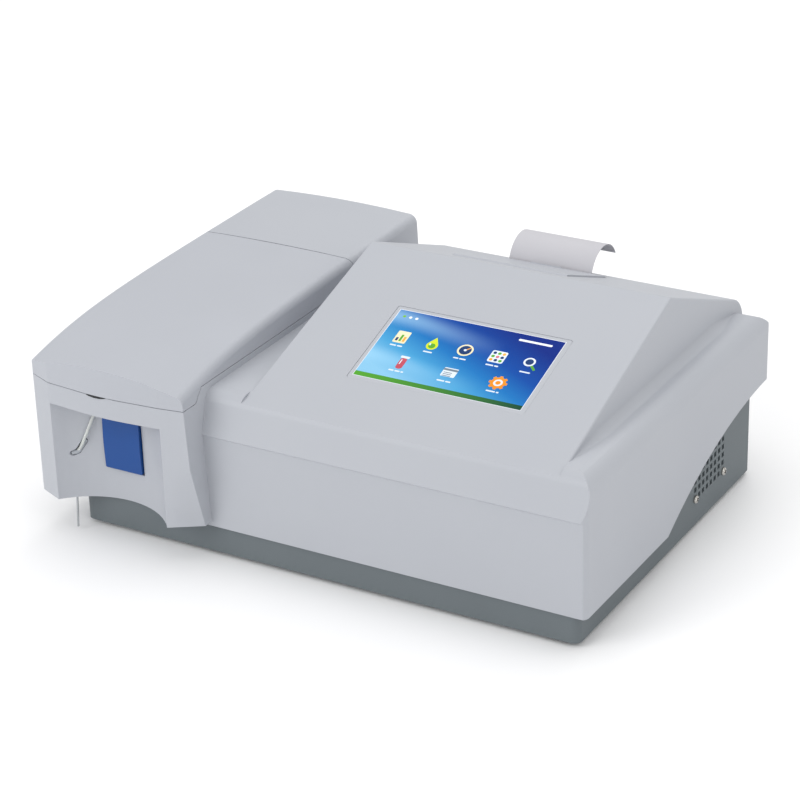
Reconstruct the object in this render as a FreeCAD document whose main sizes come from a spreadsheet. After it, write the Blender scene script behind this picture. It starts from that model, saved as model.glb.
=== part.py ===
import FreeCAD, Part
import Sketcher
import math
import os
import re

from FreeCAD import Placement, Rotation, Vector

# Benchtop chemistry analyzer, millimetres.
# Origin: middle of the overall width and depth, on the table. Front faces -Y, X to the right, Z up.

SIZES = {
    # Moulded case: right wall, front and rear faces, heights above the table
    "case_half": 219, "front_y": -144.5, "rear_y": 168.5, "case_left": -100, "wall": 2.5,
    "low_z": 25.5, "crease_z": 97, "crease_step": 1, "deck_z": 128, "brow_y": -136.5, "brow_z": 123.6,
    "brow_top_y": -135, "deck_round": 14, "rear_round": 20, "corner_round": 6,
    # Wedge console: its ridge and side creases
    "ridge_y": 44, "ridge_z": 181.4, "wedge_rear_z": 132, "wedge_left": -52, "wedge_right": 194,
    "wedge_draft": 3,
    # Tower at the left, with the bowed recess in its front
    "tower_right": -78.5, "tower_low": 29, "tower_draft": 4.5, "tower_round": 7,
    "recess_x": -150, "recess_half": 48, "recess_bow": 22, "recess_mouth_y": -166.5, "recess_top": 107,
    # Rear skirt: a wide arc that rises from the side edge to the rear edge
    "skirt_radius": 364, "skirt_rear_z": 75,
    # Base tray
    "base_left": -193, "base_right": 212, "base_front": -141.5, "base_rear": 151.5, "foot_h": 3.5,
    "tray_wall": 2, "tray_floor": 2, "tray_front_top": 31.5, "tray_rear_top": 84, "tray_round": 6,
    "foot_r": 8, "foot_inset_x": 19, "foot_inset_y": 12, "boss_r": 4.5, "base_screw_r": 1.6,
    # Screen window in the console panel
    "screen_x": 75.5, "screen_y": -52.5, "screen_w": 133, "screen_h": 74, "glass_rim": 3, "glass_h": 1.8,
    "lcd_h": 5,
    # Flow-cell lid, hinged across the tower top
    "lid_pivot_y": 58, "lid_pivot_z": 144.8, "lid_arc": 11.8, "lid_gap": 0.5, "lid_side_z": 133,
    "lid_front_z": 123.4, "lid_step_y": -149, "lid_pin_r": 1.5, "lid_ear_in": 5,
    # Printer lid, its bay on the rear slope, the paper and the mechanism under it
    "bay_x": 55, "bay_half": 47, "slot_y": 127.9, "door_t": 2.2, "door_rise": 1.2, "door_pin_r": 1.5,
    "door_pin_y": 66, "door_pin_drop": 7, "door_arc": 9.4, "chassis_half": 49.5, "chassis_t": 2.5,
    "chassis_low": 94, "chassis_rear": 140, "paper_w": 69.6, "paper_curl": 22.5, "paper_t": 0.4,
    "paper_tip": 25, "roll_r": 22, "roll_core_r": 6.5, "roll_y": 96, "roll_z": 122, "platen_r": 5.5,
    "platen_y": 121, "platen_z": 135, "shaft_r": 2, "gear_module": 0.5, "platen_teeth": 24,
    "pinion_teeth": 12,
    # Fan behind the side grille
    "fan_y": 73.5, "fan_z": 50, "fan_size": 60, "fan_pitch": 50, "fan_depth": 15, "hole_pitch_y": 7,
    "hole_pitch_z": 6.5, "hole_size": 4, "fan_screw_r": 1.6,
    # Rear panel and what is fitted in it
    "panel_left": -178, "panel_right": 198, "panel_low": 12, "panel_high": 66, "panel_t": 1.5,
    "panel_mid_z": 38, "inlet_x": 160, "switch_x": 118, "rocker_tilt": -9, "serial_x": 40, "usb_x": -20,
    "waste_x": -140,
    "nipple_bore_r": 1.6, "nipple_r": 2.6, "nipple_flange_r": 6.2, "nipple_reach": 14,
    # Photometer: lamp, lens, filter wheel, flow cell and detector on one beam
    "beam_x": -150, "beam_z": 86, "bench_z": 50, "bench_t": 4, "bench_left": -186, "bench_right": -92,
    "bench_front": -20, "bench_rear": 134, "lamp_y": 114, "lens_y": 86, "wheel_y": 62, "wheel_r": 25,
    "filter_circle": 17.5, "filter_r": 4.5, "wheel_t": 3, "cell_y": 34, "detector_y": 8,
    # Peristaltic pump on the compartment floor
    "floor_z": 104, "floor_t": 2, "pump_x": -118, "pump_y": -78, "pump_r": 19, "pump_h": 14,
    "roller_r": 4.2, "roller_circle": 11, "tube_r": 1.5, "tube_z": 111, "tube_ring": 17.2,
    # Aspirate key and needle
    "key_w": 32, "key_low": 54.5, "key_high": 101, "key_front": -149.6, "key_t": 12, "key_stroke": 3,
    "key_flange": 2.5, "key_stop_y": -128, "needle_x": -192.4, "needle_y": -153.5, "needle_r": 0.8,
    "needle_tip": 2, "needle_top": 64,
}

doc = FreeCAD.newDocument("chemistry_analyzer")
sheet = doc.addObject("Spreadsheet::Sheet", "Sizes")
for row, (alias, value) in enumerate(SIZES.items(), start=1):
    sheet.set(f"A{row}", alias)
    sheet.set(f"B{row}", str(value))
    sheet.setAlias(f"B{row}", alias)
doc.recompute()

NODES = {}


def size(name):
    """Read one driving dimension from the sheet."""
    return float(sheet.get(name))


def bound(text):
    """Turn a formula in alias names into an expression on the sheet."""
    return re.sub(r"[a-z][a-z_]*[a-z]", lambda word: "Sizes." + word.group() if word.group() in SIZES
                  else word.group(), str(text))


def bind(item, prop, formula):
    item.setExpression(prop, bound(formula))


def place(item, corner, rotation=None):
    """Bind a position to the sheet, after an optional fixed turn."""
    if rotation is not None:
        item.Placement = Placement(Vector(), rotation)
    for axis, formula in zip("xyz", corner):
        bind(item, f"Placement.Base.{axis}", formula)
    return item


def box(name, corner, sides):
    item = doc.addObject("Part::Box", name)
    for prop, formula in zip(("Length", "Width", "Height"), sides):
        bind(item, prop, formula)
    return place(item, corner)


TURN = {"z": Rotation(), "x": Rotation(Vector(0, 1, 0), 90), "y": Rotation(Vector(1, 0, 0), -90)}


def rod(name, start, radius, length, along="z"):
    item = doc.addObject("Part::Cylinder", name)
    bind(item, "Radius", radius)
    bind(item, "Height", length)
    return place(item, start, TURN[along])


def cone(name, start, radius_1, radius_2, length, along="z"):
    item = doc.addObject("Part::Cone", name)
    bind(item, "Radius1", radius_1)
    bind(item, "Radius2", radius_2)
    bind(item, "Height", length)
    return place(item, start, TURN[along])


def fuse(name, items):
    joined = doc.addObject("Part::MultiFuse", name)
    joined.Shapes = items
    return joined


def cut(name, base, tools):
    tool = tools[0] if len(tools) == 1 else fuse(name + "_tools", tools)
    result = doc.addObject("Part::Cut", name)
    result.Base = base
    result.Tool = tool
    return result


def group(name, items):
    """Identical fasteners and the like: separate solids in one node."""
    bundle = doc.addObject("Part::Compound", name)
    bundle.Links = items
    return bundle


def solid_of(name, shape):
    item = doc.addObject("Part::Feature", name)
    item.Shape = shape
    return item


def node(item, name):
    item.Label = name
    NODES[name] = item
    return item


# Outlines


def outline(corners, spot):
    """A closed face from corners (u, v) or (u, v, radius), rounded by tangent arcs."""
    points = [Vector(c[0], c[1], 0) for c in corners]
    radii = [c[2] if len(c) > 2 else 0 for c in corners]
    edges = []
    ends = []
    for i, corner in enumerate(points):
        before = (points[i - 1] - corner).normalize()
        after = (points[(i + 1) % len(points)] - corner).normalize()
        if radii[i] == 0:
            ends.append((corner, None, corner))
            continue
        half = before.getAngle(after) / 2
        reach = radii[i] / math.tan(half)
        middle = (before + after).normalize() * (radii[i] / math.sin(half) - radii[i])
        ends.append((corner + before * reach, corner + middle, corner + after * reach))
    for i, (first, middle, last) in enumerate(ends):
        if middle is not None:
            edges.append(Part.Arc(spot(first), spot(middle), spot(last)).toShape())
        following = ends[(i + 1) % len(ends)][0]
        if last.distanceToPoint(following) > 1e-6:
            edges.append(Part.makeLine(spot(last), spot(following)))
    return Part.Face(Part.Wire(edges))


def prism(axis, corners, low, high, inset=0.0):
    """An outline in the plane across an axis, drawn inwards by inset, extruded from low to high."""
    spots = {"x": lambda p: Vector(low, p.x, p.y), "y": lambda p: Vector(p.x, low, p.y),
             "z": lambda p: Vector(p.x, p.y, low)}
    ways = {"x": Vector(1, 0, 0), "y": Vector(0, 1, 0), "z": Vector(0, 0, 1)}
    face = outline(corners, spots[axis])
    if inset:
        face = face.makeOffset2D(-inset)
    return face.extrude(ways[axis] * (high - low))


def block(low, high):
    """A plain box between two opposite corners."""
    return Part.makeBox(high[0] - low[0], high[1] - low[1], high[2] - low[2], Vector(*low))


def cylinder(start, radius, length, way):
    return Part.makeCylinder(radius, length, Vector(*start), Vector(*way))


# Case forms, each made at the outer surface (inset 0) or at the inner one (inset = wall)

FAR = 40


def panel_slope():
    return (size("ridge_z") - size("brow_z")) / (size("ridge_y") - size("brow_y"))


def panel_z(y):
    """Height of the console panel."""
    return size("ridge_z") + panel_slope() * (y - size("ridge_y"))


def rear_slope():
    return (size("ridge_z") - size("wedge_rear_z")) / (size("rear_y") - size("ridge_y"))


def slope_z(y):
    """Height of the slope behind the ridge."""
    return size("ridge_z") - rear_slope() * (y - size("ridge_y"))


def deck_form(inset):
    """Front wall with its crease, level shoulder and rounded rear: three crossed extrusions."""
    front, rear, low, deck = size("front_y"), size("rear_y"), size("low_z"), size("deck_z")
    crease, step = size("crease_z"), size("crease_step")
    drop = FAR if inset else 0
    side = [(front, low - drop), (front, crease), (front - step, crease + step),
            (size("brow_top_y"), deck, 12), (rear, deck, size("rear_round")), (rear, low - drop)]
    left, right = size("case_left"), size("case_half")
    face = [(left, low - drop), (left, deck), (right, deck, size("deck_round")), (right, low - drop)]
    plan = [(left, front - step), (right, front - step, size("corner_round")),
            (right, rear, size("corner_round") + 2), (left, rear)]
    form = prism("x", side, left, right, inset)
    form = form.common(prism("y", face, front - step, rear, inset))
    return form.common(prism("z", plan, low - drop, deck, inset))


def wedge_form(inset):
    """Console hump: panel up to the ridge, slope down behind, steep drafted flanks."""
    low = size("crease_z")
    left, right, draft = size("wedge_left"), size("wedge_right"), size("wedge_draft")
    side = [(size("brow_y") - 6, low), (size("brow_y"), size("brow_z"), 5),
            (size("ridge_y"), size("ridge_z"), 6), (size("rear_y"), size("wedge_rear_z"), size("rear_round")),
            (size("rear_y"), low)]
    form = prism("x", side, left - draft, right + draft, inset)
    form = form.common(prism("y", wedge_face(), size("brow_y") - 6, size("rear_y"), inset))
    if inset:
        return form
    creases = [edge for edge in form.Edges if is_crease(edge, left, right)]
    return form.makeFillet(1.6, creases)


def wedge_face():
    """The console seen from the front: steep flanks that lean in towards the top."""
    left, right, draft = size("wedge_left"), size("wedge_right"), size("wedge_draft")
    low, top = size("crease_z"), size("ridge_z") + 1
    return [(left - draft, low), (left + draft / 2, top), (right - draft / 2, top), (right + draft, low)]


def is_crease(edge, left, right):
    """Long side edges of the console's panel and rear slope."""
    span = edge.BoundBox
    along = span.YLength > 60 and span.ZLength > 5
    at_side = abs(span.Center.x - left) < 4 or abs(span.Center.x - right) < 4
    return along and at_side and span.ZMax > size("brow_z") + 8


# Tower top: distance along y, height of its side edges, crown in the middle
TOWER_STATIONS = ((-178, 131, 12), (-150, 138, 9.5), (-110, 145, 7), (-60, 149.4, 4.5), (10, 151.6, 2.6),
                  (90, 152.4, 1.8), (172, 152.6, 1.8))


def tower_section(y, edge, crown, inset):
    """Upright section of the tower with rounded shoulders and a crowned top."""
    left = -size("case_half") + inset
    right_low = size("tower_right") - inset
    right = right_low - size("tower_draft")
    low = size("tower_low") - (FAR if inset else 0)
    high = edge - inset
    radius = size("tower_round") - inset
    bend = radius * (1 - math.sqrt(0.5))
    middle = (left + right) / 2
    shoulder = [Vector(left, y, high - radius), Vector(left + bend, y, high - bend),
                Vector(left + radius, y, high)]
    far = [Vector(right - radius, y, high), Vector(right - bend, y, high - bend),
           Vector(right, y, high - radius)]
    start, stop = Vector(left, y, low), Vector(right_low, y, low)
    edges = [Part.makeLine(start, shoulder[0]), Part.Arc(*shoulder).toShape(),
             Part.Arc(shoulder[2], Vector(middle, y, high + crown), far[0]).toShape(),
             Part.Arc(*far).toShape(), Part.makeLine(far[2], stop), Part.makeLine(stop, start)]
    return Part.Wire(edges)


def tower_plan(inset):
    """Plan of the tower: turned cheeks at both sides of a slightly bowed front."""
    left, right = -size("case_half"), size("tower_right")
    mouth, half, middle = size("recess_mouth_y"), size("recess_half"), size("recess_x")
    corners = [(left, mouth + 9, 4), (middle - half, mouth, 10), (middle, mouth - 4.5, 240),
               (middle + half, mouth - 0.5, 10), (right, mouth + 3, 4), (right, size("rear_y")),
               (left, size("rear_y"), 5)]
    return prism("z", corners, -FAR, 200, inset)


def tower_form(inset):
    """Lofted tower with a domed front, cut to its plan."""
    sections = [tower_section(y, edge, crown, inset) for y, edge, crown in TOWER_STATIONS]
    form = Part.makeLoft(sections, True, False)
    return form.common(tower_plan(inset)).cut(chin_cut(inset))


def chin_cut(inset):
    """Below mid height the tower's right cheek draws back to the front wall."""
    right, mouth = size("tower_right") - inset, size("recess_mouth_y") + inset
    foot, knee = size("tower_low") - FAR, 80
    corner = [Vector(right + 1, mouth - 20, knee), Vector(right + 1, mouth + 3, knee),
              Vector(right + 1, mouth + 12 + FAR * 0.3, foot), Vector(right + 1, mouth - 20, foot)]
    inner = [Vector(right - 24, mouth - 20, knee), Vector(right - 24, mouth - 1, knee),
             Vector(right - 24, mouth - 1, foot), Vector(right - 24, mouth - 20, foot)]
    wires = [Part.makePolygon(points + points[:1]) for points in (corner, inner)]
    return Part.makeLoft(wires, True, True)


def recess_form(grow):
    """Bowed recess in the tower front; grown by the wall it makes the wall behind it."""
    middle, half, mouth = size("recess_x"), size("recess_half"), size("recess_mouth_y")
    bow, deep = size("recess_bow"), 30
    spread = half + grow
    ends = [Vector(middle - spread, mouth - grow * 0.2, 0), Vector(middle + spread, mouth - grow * 0.2, 0)]
    arc = Part.Arc(ends[0], Vector(middle, mouth + bow + grow, 0), ends[1]).toShape()
    corners = [ends[1], Vector(ends[1].x, mouth - deep, 0), Vector(ends[0].x, mouth - deep, 0), ends[0]]
    sides = [Part.makeLine(a, b) for a, b in zip(corners, corners[1:])]
    top = size("recess_top") + grow
    return Part.Face(Part.Wire([arc] + sides)).extrude(Vector(0, 0, top))


def skirt_cut():
    """The wide cylinder whose arc trims the sides and rear of the housing."""
    radius = size("skirt_radius")
    start = (-size("case_half") - 5, size("rear_y") + 1.5, size("skirt_rear_z") - radius)
    return cylinder(start, radius, 2 * size("case_half") + 10, (1, 0, 0))


def lid_zone(grow):
    """Side view of the lid: a straight seam, a step at the front and an arc round the pivot."""
    pivot_y, pivot_z = size("lid_pivot_y"), size("lid_pivot_z")
    side_z, front_z, step_y = size("lid_side_z"), size("lid_front_z"), size("lid_step_y")
    left, right = -size("case_half") - 5, size("tower_right") + 5
    corners = [(step_y - 60, front_z - grow), (step_y + grow, front_z - grow),
               (step_y + 9, side_z - grow),
               (pivot_y, side_z - grow), (pivot_y, 180), (step_y - 60, 180)]
    zone = prism("x", corners, left, right)
    return zone.fuse(cylinder((left, pivot_y, pivot_z), size("lid_arc") + grow, right - left, (1, 0, 0)))


def notch_form():
    """Crescent scoop in the housing under the lid's front edge, for a fingertip."""
    middle, z = size("recess_x") - 4, size("lid_front_z")
    radius, out, up, half = 58.2, 54.8, 24, 14
    scoop = Part.makeSphere(radius, Vector(middle, size("recess_mouth_y") - out, z + up))
    return scoop.common(block((middle - half, -190, z - 5), (middle + half, -150, z)))


def outer_form():
    deck = deck_form(0)
    brow = [(size("brow_y") - 8, panel_z(size("brow_y") - 8)), (-112, panel_z(-112)), (-112, 140),
            (size("brow_y") - 8, 140)]
    brow = prism("x", brow, size("wedge_left") - 5, size("wedge_right") + 5)
    deck = deck.cut(brow.common(prism("y", wedge_face(), size("brow_y") - 8, -112)))
    return deck.fuse([wedge_form(0), tower_form(0)]).cut(recess_form(0))


def inner_form():
    wall = size("wall")
    form = deck_form(wall).fuse([wedge_form(wall), tower_form(wall)])
    return form.cut(recess_form(wall))


def screen_spot(x, along, up):
    """A point on the console panel: along the slope from the screen's middle, and up from it."""
    angle = math.atan(panel_slope())
    centre = Vector(size("screen_x"), size("screen_y"), panel_z(size("screen_y")))
    slope = Vector(0, math.cos(angle), math.sin(angle))
    normal = Vector(0, -math.sin(angle), math.cos(angle))
    return centre + Vector(x, 0, 0) + slope * along + normal * up


def on_panel(width, length, low, high, x=0.0, along=0.0, radius=0.0):
    """A plate parallel to the console panel, centred on the screen."""
    angle = math.degrees(math.atan(panel_slope()))
    corners = [(-width / 2, -length / 2, radius), (width / 2, -length / 2, radius),
               (width / 2, length / 2, radius), (-width / 2, length / 2, radius)]
    plate = prism("z", corners, 0, high - low)
    plate.Placement = Placement(screen_spot(x, along, low), Rotation(Vector(1, 0, 0), angle))
    return plate


def on_slope(width, front, rear, low, high, radius=0.0):
    """A plate parallel to the rear slope, from one y to another, centred on the printer."""
    angle = math.degrees(math.atan(rear_slope()))
    length = (rear - front) / math.cos(math.radians(angle))
    corners = [(-width / 2, 0, radius), (width / 2, 0, radius), (width / 2, length, radius),
               (-width / 2, length, radius)]
    plate = prism("z", corners, 0, high - low)
    turn = Rotation(Vector(1, 0, 0), -angle)
    start = Vector(size("bay_x"), front, slope_z(front)) + turn.multVec(Vector(0, 0, low))
    plate.Placement = Placement(start, turn)
    return plate


def overhang_floor():
    """Underside of the tower where it stands out in front and at the left of the base tray."""
    wall, low, gap = size("wall"), size("tower_low"), 0.7
    left, front = size("base_left") - gap, size("base_front") - gap
    floor = tower_form(wall).common(block((-FAR * 6, -FAR * 5, low), (0, -18, low + wall)))
    tray = block((left, front, low - 1), (0, 0, low + wall + 1))
    deck = block((size("tower_right") - wall, -FAR * 5, low - 1), (0, 0, low + wall + 1))
    floor = floor.cut(recess_form(wall)).cut(tray).cut(deck)
    return floor.cut(needle_rod(2.2, low - 1, low + wall + 1))


def printer_opening():
    """Bay in the rear slope: the lid, its hinge arc and the paper slot behind it."""
    arc = cylinder((size("bay_x") - size("bay_half") - 0.5, size("door_pin_y"), door_pin_z()),
                   size("door_arc") + 0.5, 2 * size("bay_half") + 1, (1, 0, 0))
    plate = on_slope(2 * size("bay_half") + 1, size("door_pin_y"), size("slot_y") + 2.4, -12, 8)
    return plate.fuse(arc)


def case_boss_places():
    return [(203, -118), (203, 124), (-66, -122), (-66, 138)]


def case_bosses():
    """Hollow posts under the roof that stand on the tray floor and take the case screws."""
    floor = size("foot_h") + size("tray_floor")
    inside = deck_form(size("wall")).fuse(wedge_form(size("wall")))
    posts = []
    for x, y in case_boss_places():
        post = cylinder((x, y, floor), size("boss_r"), 140, (0, 0, 1)).common(inside)
        posts.append(post.cut(cylinder((x, y, 0), size("base_screw_r"), 16, (0, 0, 1))))
    return posts


def door_pin_z():
    return slope_z(size("door_pin_y")) - size("door_pin_drop")


def upper_shell():
    """Moulded housing: one thin wall round the deck, wedge console and tower."""
    shell = outer_form().cut(inner_form()).cut(skirt_cut()).fuse(overhang_floor())
    shell = shell.cut([lid_zone(size("lid_gap")), notch_form(), printer_opening()])
    glass = size("glass_rim") * 2 + 0.4
    shell = shell.cut(on_panel(size("screen_w") + glass, size("screen_h") + glass, -8, 5, radius=2))
    half, front = size("key_w") / 2 + 0.8, size("recess_mouth_y")
    pocket = block((size("recess_x") - half, front, size("key_low") - 0.8),
                   (size("recess_x") + half, front + 40, size("key_high") + 0.8))
    tube_exit = block((-173.5, front, 95), (-168.3, -140, 106.4))
    shell = shell.cut([pocket, tube_exit] + tube_slot()).fuse(case_bosses())
    return node(solid_of("upper_shell", shell), "upper_shell")


def tube_slot():
    """Slanted slot in the recess wall that the sample tube comes out of."""
    front, half, deep = size("recess_mouth_y"), 2.1, 17.5
    bends = [(-188.2, 64.8), (-185.2, 66.2), (-180.3, 74.5)]
    cutters = [cylinder((x, front, z), half, deep, (0, 1, 0)) for x, z in bends]
    for (x, z), (next_x, next_z) in zip(bends, bends[1:]):
        run = math.hypot(next_x - x, next_z - z)
        over, rise = -(next_z - z) / run * half, (next_x - x) / run * half
        corners = [(x + over, z + rise), (next_x + over, next_z + rise), (next_x - over, next_z - rise),
                   (x - over, z - rise)]
        cutters.append(prism("y", corners, front, front + deep))
    return cutters


def flow_cell_lid():
    """Lid of the tower: the same skin above the seam, with two hinge ears under its top."""
    skin = tower_form(0).cut(tower_form(size("wall"))).common(lid_zone(0))
    y, z, radius = size("lid_pivot_y"), size("lid_pivot_z"), 4
    ears = []
    for x in lid_ear_places():
        ear = block((x - 1.5, y - radius, z), (x + 1.5, y + radius, z + 20))
        ear = ear.fuse(cylinder((x - 1.5, y, z), radius, 3, (1, 0, 0))).common(tower_form(1))
        ears.append(ear.cut(cylinder((x - 2, y, z), size("lid_pin_r") + 0.05, 4, (1, 0, 0))))
    return node(solid_of("flow_cell_lid", skin.fuse(ears)), "flow_cell_lid")


def lid_ear_places():
    inner_left = -size("case_half") + size("wall")
    inner_right = size("tower_right") - size("wall") - size("tower_draft")
    return (inner_left + size("lid_ear_in"), inner_right - size("lid_ear_in"))


def lid_hinge():
    """Two posts on the compartment floor carry the lid's pins."""
    left, right = lid_ear_places()
    posts, pins = [], []
    for name, x, start in (("left", left + 2, left - 1.5), ("right", right - 5, right - 5)):
        y, z = "lid_pivot_y", "lid_pivot_z"
        post = box(f"{name}_post", (x, f"{y} - 3.5", "floor_z"), (3, 7, f"{z} - floor_z"))
        eye = rod(f"{name}_post_eye", (x, y, z), 3.5, 3, "x")
        bore = rod(f"{name}_post_bore", (x - 1, y, z), "lid_pin_r", 5, "x")
        foot = box(f"{name}_post_foot", (x - 4, f"{y} - 8", "floor_z"), (11, 16, 2.5))
        posts.append(cut(f"{name}_hinge_post", fuse(f"{name}_post_body", [post, eye, foot]), [bore]))
        pins.append(rod(f"{name}_lid_pin", (start, y, z), "lid_pin_r", 6.5, "x"))
    node(group("lid_hinge_posts", posts), "lid_hinge_posts")
    return node(group("lid_hinge_pins", pins), "lid_hinge_pins")


# Base


def new_body(name):
    return doc.addObject("PartDesign::Body", name)


def origin_plane(body, role):
    return next(item for item in body.Origin.OriginFeatures if item.Role == role)


def sketch_on(body, role, name, lift="0"):
    sketch = body.newObject("Sketcher::SketchObject", name)
    sketch.AttachmentSupport = [(origin_plane(body, role), "")]
    sketch.MapMode = "FlatFace"
    bind(sketch, "AttachmentOffset.Base.z", lift)
    return sketch


def rectangle(sketch, width, height):
    """A rectangle centred on the sketch's origin, its sides bound to the sheet."""
    corners = [Vector(-10, -5, 0), Vector(10, -5, 0), Vector(10, 5, 0), Vector(-10, 5, 0)]
    first = len(sketch.Geometry)
    for i in range(4):
        sketch.addGeometry(Part.LineSegment(corners[i], corners[(i + 1) % 4]))
    for i in range(4):
        sketch.addConstraint(Sketcher.Constraint("Coincident", first + i, 2, first + (i + 1) % 4, 1))
    for i, way in enumerate(("Horizontal", "Vertical", "Horizontal", "Vertical")):
        sketch.addConstraint(Sketcher.Constraint(way, first + i))
    sketch.addConstraint(Sketcher.Constraint("Symmetric", first, 1, first + 2, 1, -1, 1))
    measure(sketch, "DistanceX", first, width)
    measure(sketch, "DistanceY", first + 1, height)


def measure(sketch, kind, edge, formula):
    index = sketch.addConstraint(Sketcher.Constraint(kind, edge, 1, edge, 2, 10))
    sketch.setExpression(f"Constraints[{index}]", bound(formula))


def circle(sketch, radius, x="0", y="0"):
    """A circle whose radius and place are bound to the sheet."""
    edge = sketch.addGeometry(Part.Circle(Vector(1, 1, 0), Vector(0, 0, 1), 3))
    index = sketch.addConstraint(Sketcher.Constraint("Radius", edge, 3))
    sketch.setExpression(f"Constraints[{index}]", bound(radius))
    for kind, formula in (("DistanceX", x), ("DistanceY", y)):
        index = sketch.addConstraint(Sketcher.Constraint(kind, -1, 1, edge, 3, 1))
        sketch.setExpression(f"Constraints[{index}]", bound(formula))


def pad(body, name, sketch, length, midplane=False):
    feature = body.newObject("PartDesign::Pad", name)
    feature.Profile = sketch
    feature.Midplane = midplane
    bind(feature, "Length", length)
    return feature


def pocket(body, name, sketch, length, reversed_way=False):
    feature = body.newObject("PartDesign::Pocket", name)
    feature.Profile = sketch
    feature.Reversed = reversed_way
    bind(feature, "Length", length)
    return feature


def tray_form(inset, low):
    """Outline of the tray with rounded corners, low at the front and tall beside the fan."""
    left, right, front, rear = (size("base_" + side) for side in ("left", "right", "front", "rear"))
    radius = size("tray_round")
    corners = [(left, front, radius), (right, front, radius), (right, rear, radius), (left, rear, radius)]
    return prism("z", corners, low, size("tray_rear_top") + 5, inset)


def grille_holes():
    """Square holes in eight columns and eight rows, the corner ones left solid."""
    hole, wall = size("hole_size"), size("tray_wall")
    holes = []
    for column in range(8):
        for row in range(8):
            if column in (0, 7) and row in (0, 7):
                continue
            y = size("fan_y") + (column - 3.5) * size("hole_pitch_y") - hole / 2
            z = size("fan_z") - 1.5 + (row - 3.5) * size("hole_pitch_z") - hole / 2
            holes.append(Part.makeBox(3 * wall, hole, hole, Vector(size("base_right") - 2 * wall, y, z)))
    return holes


def foot_places():
    in_x, in_y = size("foot_inset_x"), size("foot_inset_y")
    return [(x, y) for x in (size("base_left") + in_x, size("base_right") - in_x)
            for y in (size("base_front") + in_y, size("base_rear") - in_y)]


def fan_screw_places():
    half = size("fan_pitch") / 2
    return [(size("fan_y") + a, size("fan_z") + b) for a in (-half, half) for b in (-half, half)]


BOARD = {"left": 20, "right": 180, "front": -124, "rear": -24, "z": 14, "t": 1.6}


def board_posts():
    return [(x, y) for x in (BOARD["left"] + 6, BOARD["right"] - 6)
            for y in (BOARD["front"] + 6, BOARD["rear"] - 6)]


def base_tray():
    """Grey tray: floor, walls taller at the rear half, side grille, vents and board posts."""
    low, floor, wall = size("foot_h"), size("foot_h") + size("tray_floor"), size("tray_wall")
    tray = tray_form(0, low).cut(tray_form(wall, floor))
    front_top, rear_top = size("tray_front_top"), size("tray_rear_top")
    above = [(-200, front_top), (-6, front_top), (30, rear_top), (200, rear_top), (200, 120), (-200, 120)]
    tray = tray.cut(prism("x", above, -250, 250))
    tray = tray.cut(block((-230, -200, 28.5), (-95, -120, 60)))
    opening = block((size("panel_left") + 6, size("base_rear") - 4, size("panel_low") + 5),
                    (size("panel_right") - 6, size("base_rear") + 4, size("panel_high") - 5))
    screw = size("fan_screw_r")
    bores = [cylinder((size("base_right") - 4, y, z), screw, 8, (1, 0, 0)) for y, z in fan_screw_places()]
    bores += [cylinder((x, y, 0), size("base_screw_r"), 20, (0, 0, 1))
              for x, y in foot_places() + case_boss_places()]
    vents = [block((-60 + 9 * i, -40, 0), (-56 + 9 * i, 20, 20)) for i in range(6)]
    posts = [cylinder((x, y, floor), 3.2, BOARD["z"] - floor, (0, 0, 1)) for x, y in board_posts()]
    bosses = [cylinder((x, y, floor), 5, 8, (0, 0, 1)) for x, y in foot_places()]
    tray = tray.fuse(posts + bosses).cut([opening] + bores + vents + grille_holes())
    return node(solid_of("base_tray", tray), "base_tray")


def rear_panel():
    """Sheet-metal panel screwed over the opening at the back of the tray."""
    body = new_body("rear_panel")
    sketch = sketch_on(body, "XZ_Plane", "rear_panel_outline")
    rectangle(sketch, "panel_right - panel_left", "panel_high - panel_low")
    pad(body, "rear_panel_plate", sketch, "panel_t")
    holes = sketch_on(body, "XZ_Plane", "rear_panel_holes")
    middle = "(panel_right + panel_left) / 2"
    lift = "panel_mid_z - (panel_high + panel_low) / 2"
    circle(holes, "nipple_r + 0.7", f"waste_x - {middle}", lift)
    for x in ("-1", "0", "1"):
        for way in ("-1", "1"):
            circle(holes, 1.7, f"{x} * ((panel_right - panel_left) / 2 - 5)",
                   f"{way} * ((panel_high - panel_low) / 2 - 2.5)")
    pocket(body, "rear_panel_bores", holes, "3 * panel_t", True)
    place(body, (middle, "base_rear + panel_t", "(panel_high + panel_low) / 2"))
    doc.recompute()
    bores = [box("inlet_window", ("inlet_x - 14", "base_rear - 3", "panel_mid_z - 10.5"), (28, 8, 21)),
             box("switch_window", ("switch_x - 9.6", "base_rear - 3", "panel_mid_z - 6.6"), (19.2, 8, 13.2)),
             box("serial_window", ("serial_x - 12.6", "base_rear - 3", "panel_mid_z - 5.6"), (25.2, 8, 11.2)),
             box("usb_window", ("usb_x - 6.6", "base_rear - 3", "panel_mid_z - 6.1"), (13.2, 8, 12.2))]
    return node(cut("rear_panel_cut", body, bores), "rear_panel")


def screw_at(name, spot, head_r, head_h, shank_r, length, way):
    """Pan-head screw: head on the outside at spot, shank running along way."""
    direction = Vector(*way)
    start = Vector(*spot)
    crown = 0.4 * head_h
    head = Part.makeCylinder(head_r, head_h - crown, start - direction * (head_h - crown), direction)
    top = Part.makeCone(0.7 * head_r, head_r, crown, start - direction * head_h, direction)
    return solid_of(name, head.fuse([top, Part.makeCylinder(shank_r, length, start, direction)]))


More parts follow.
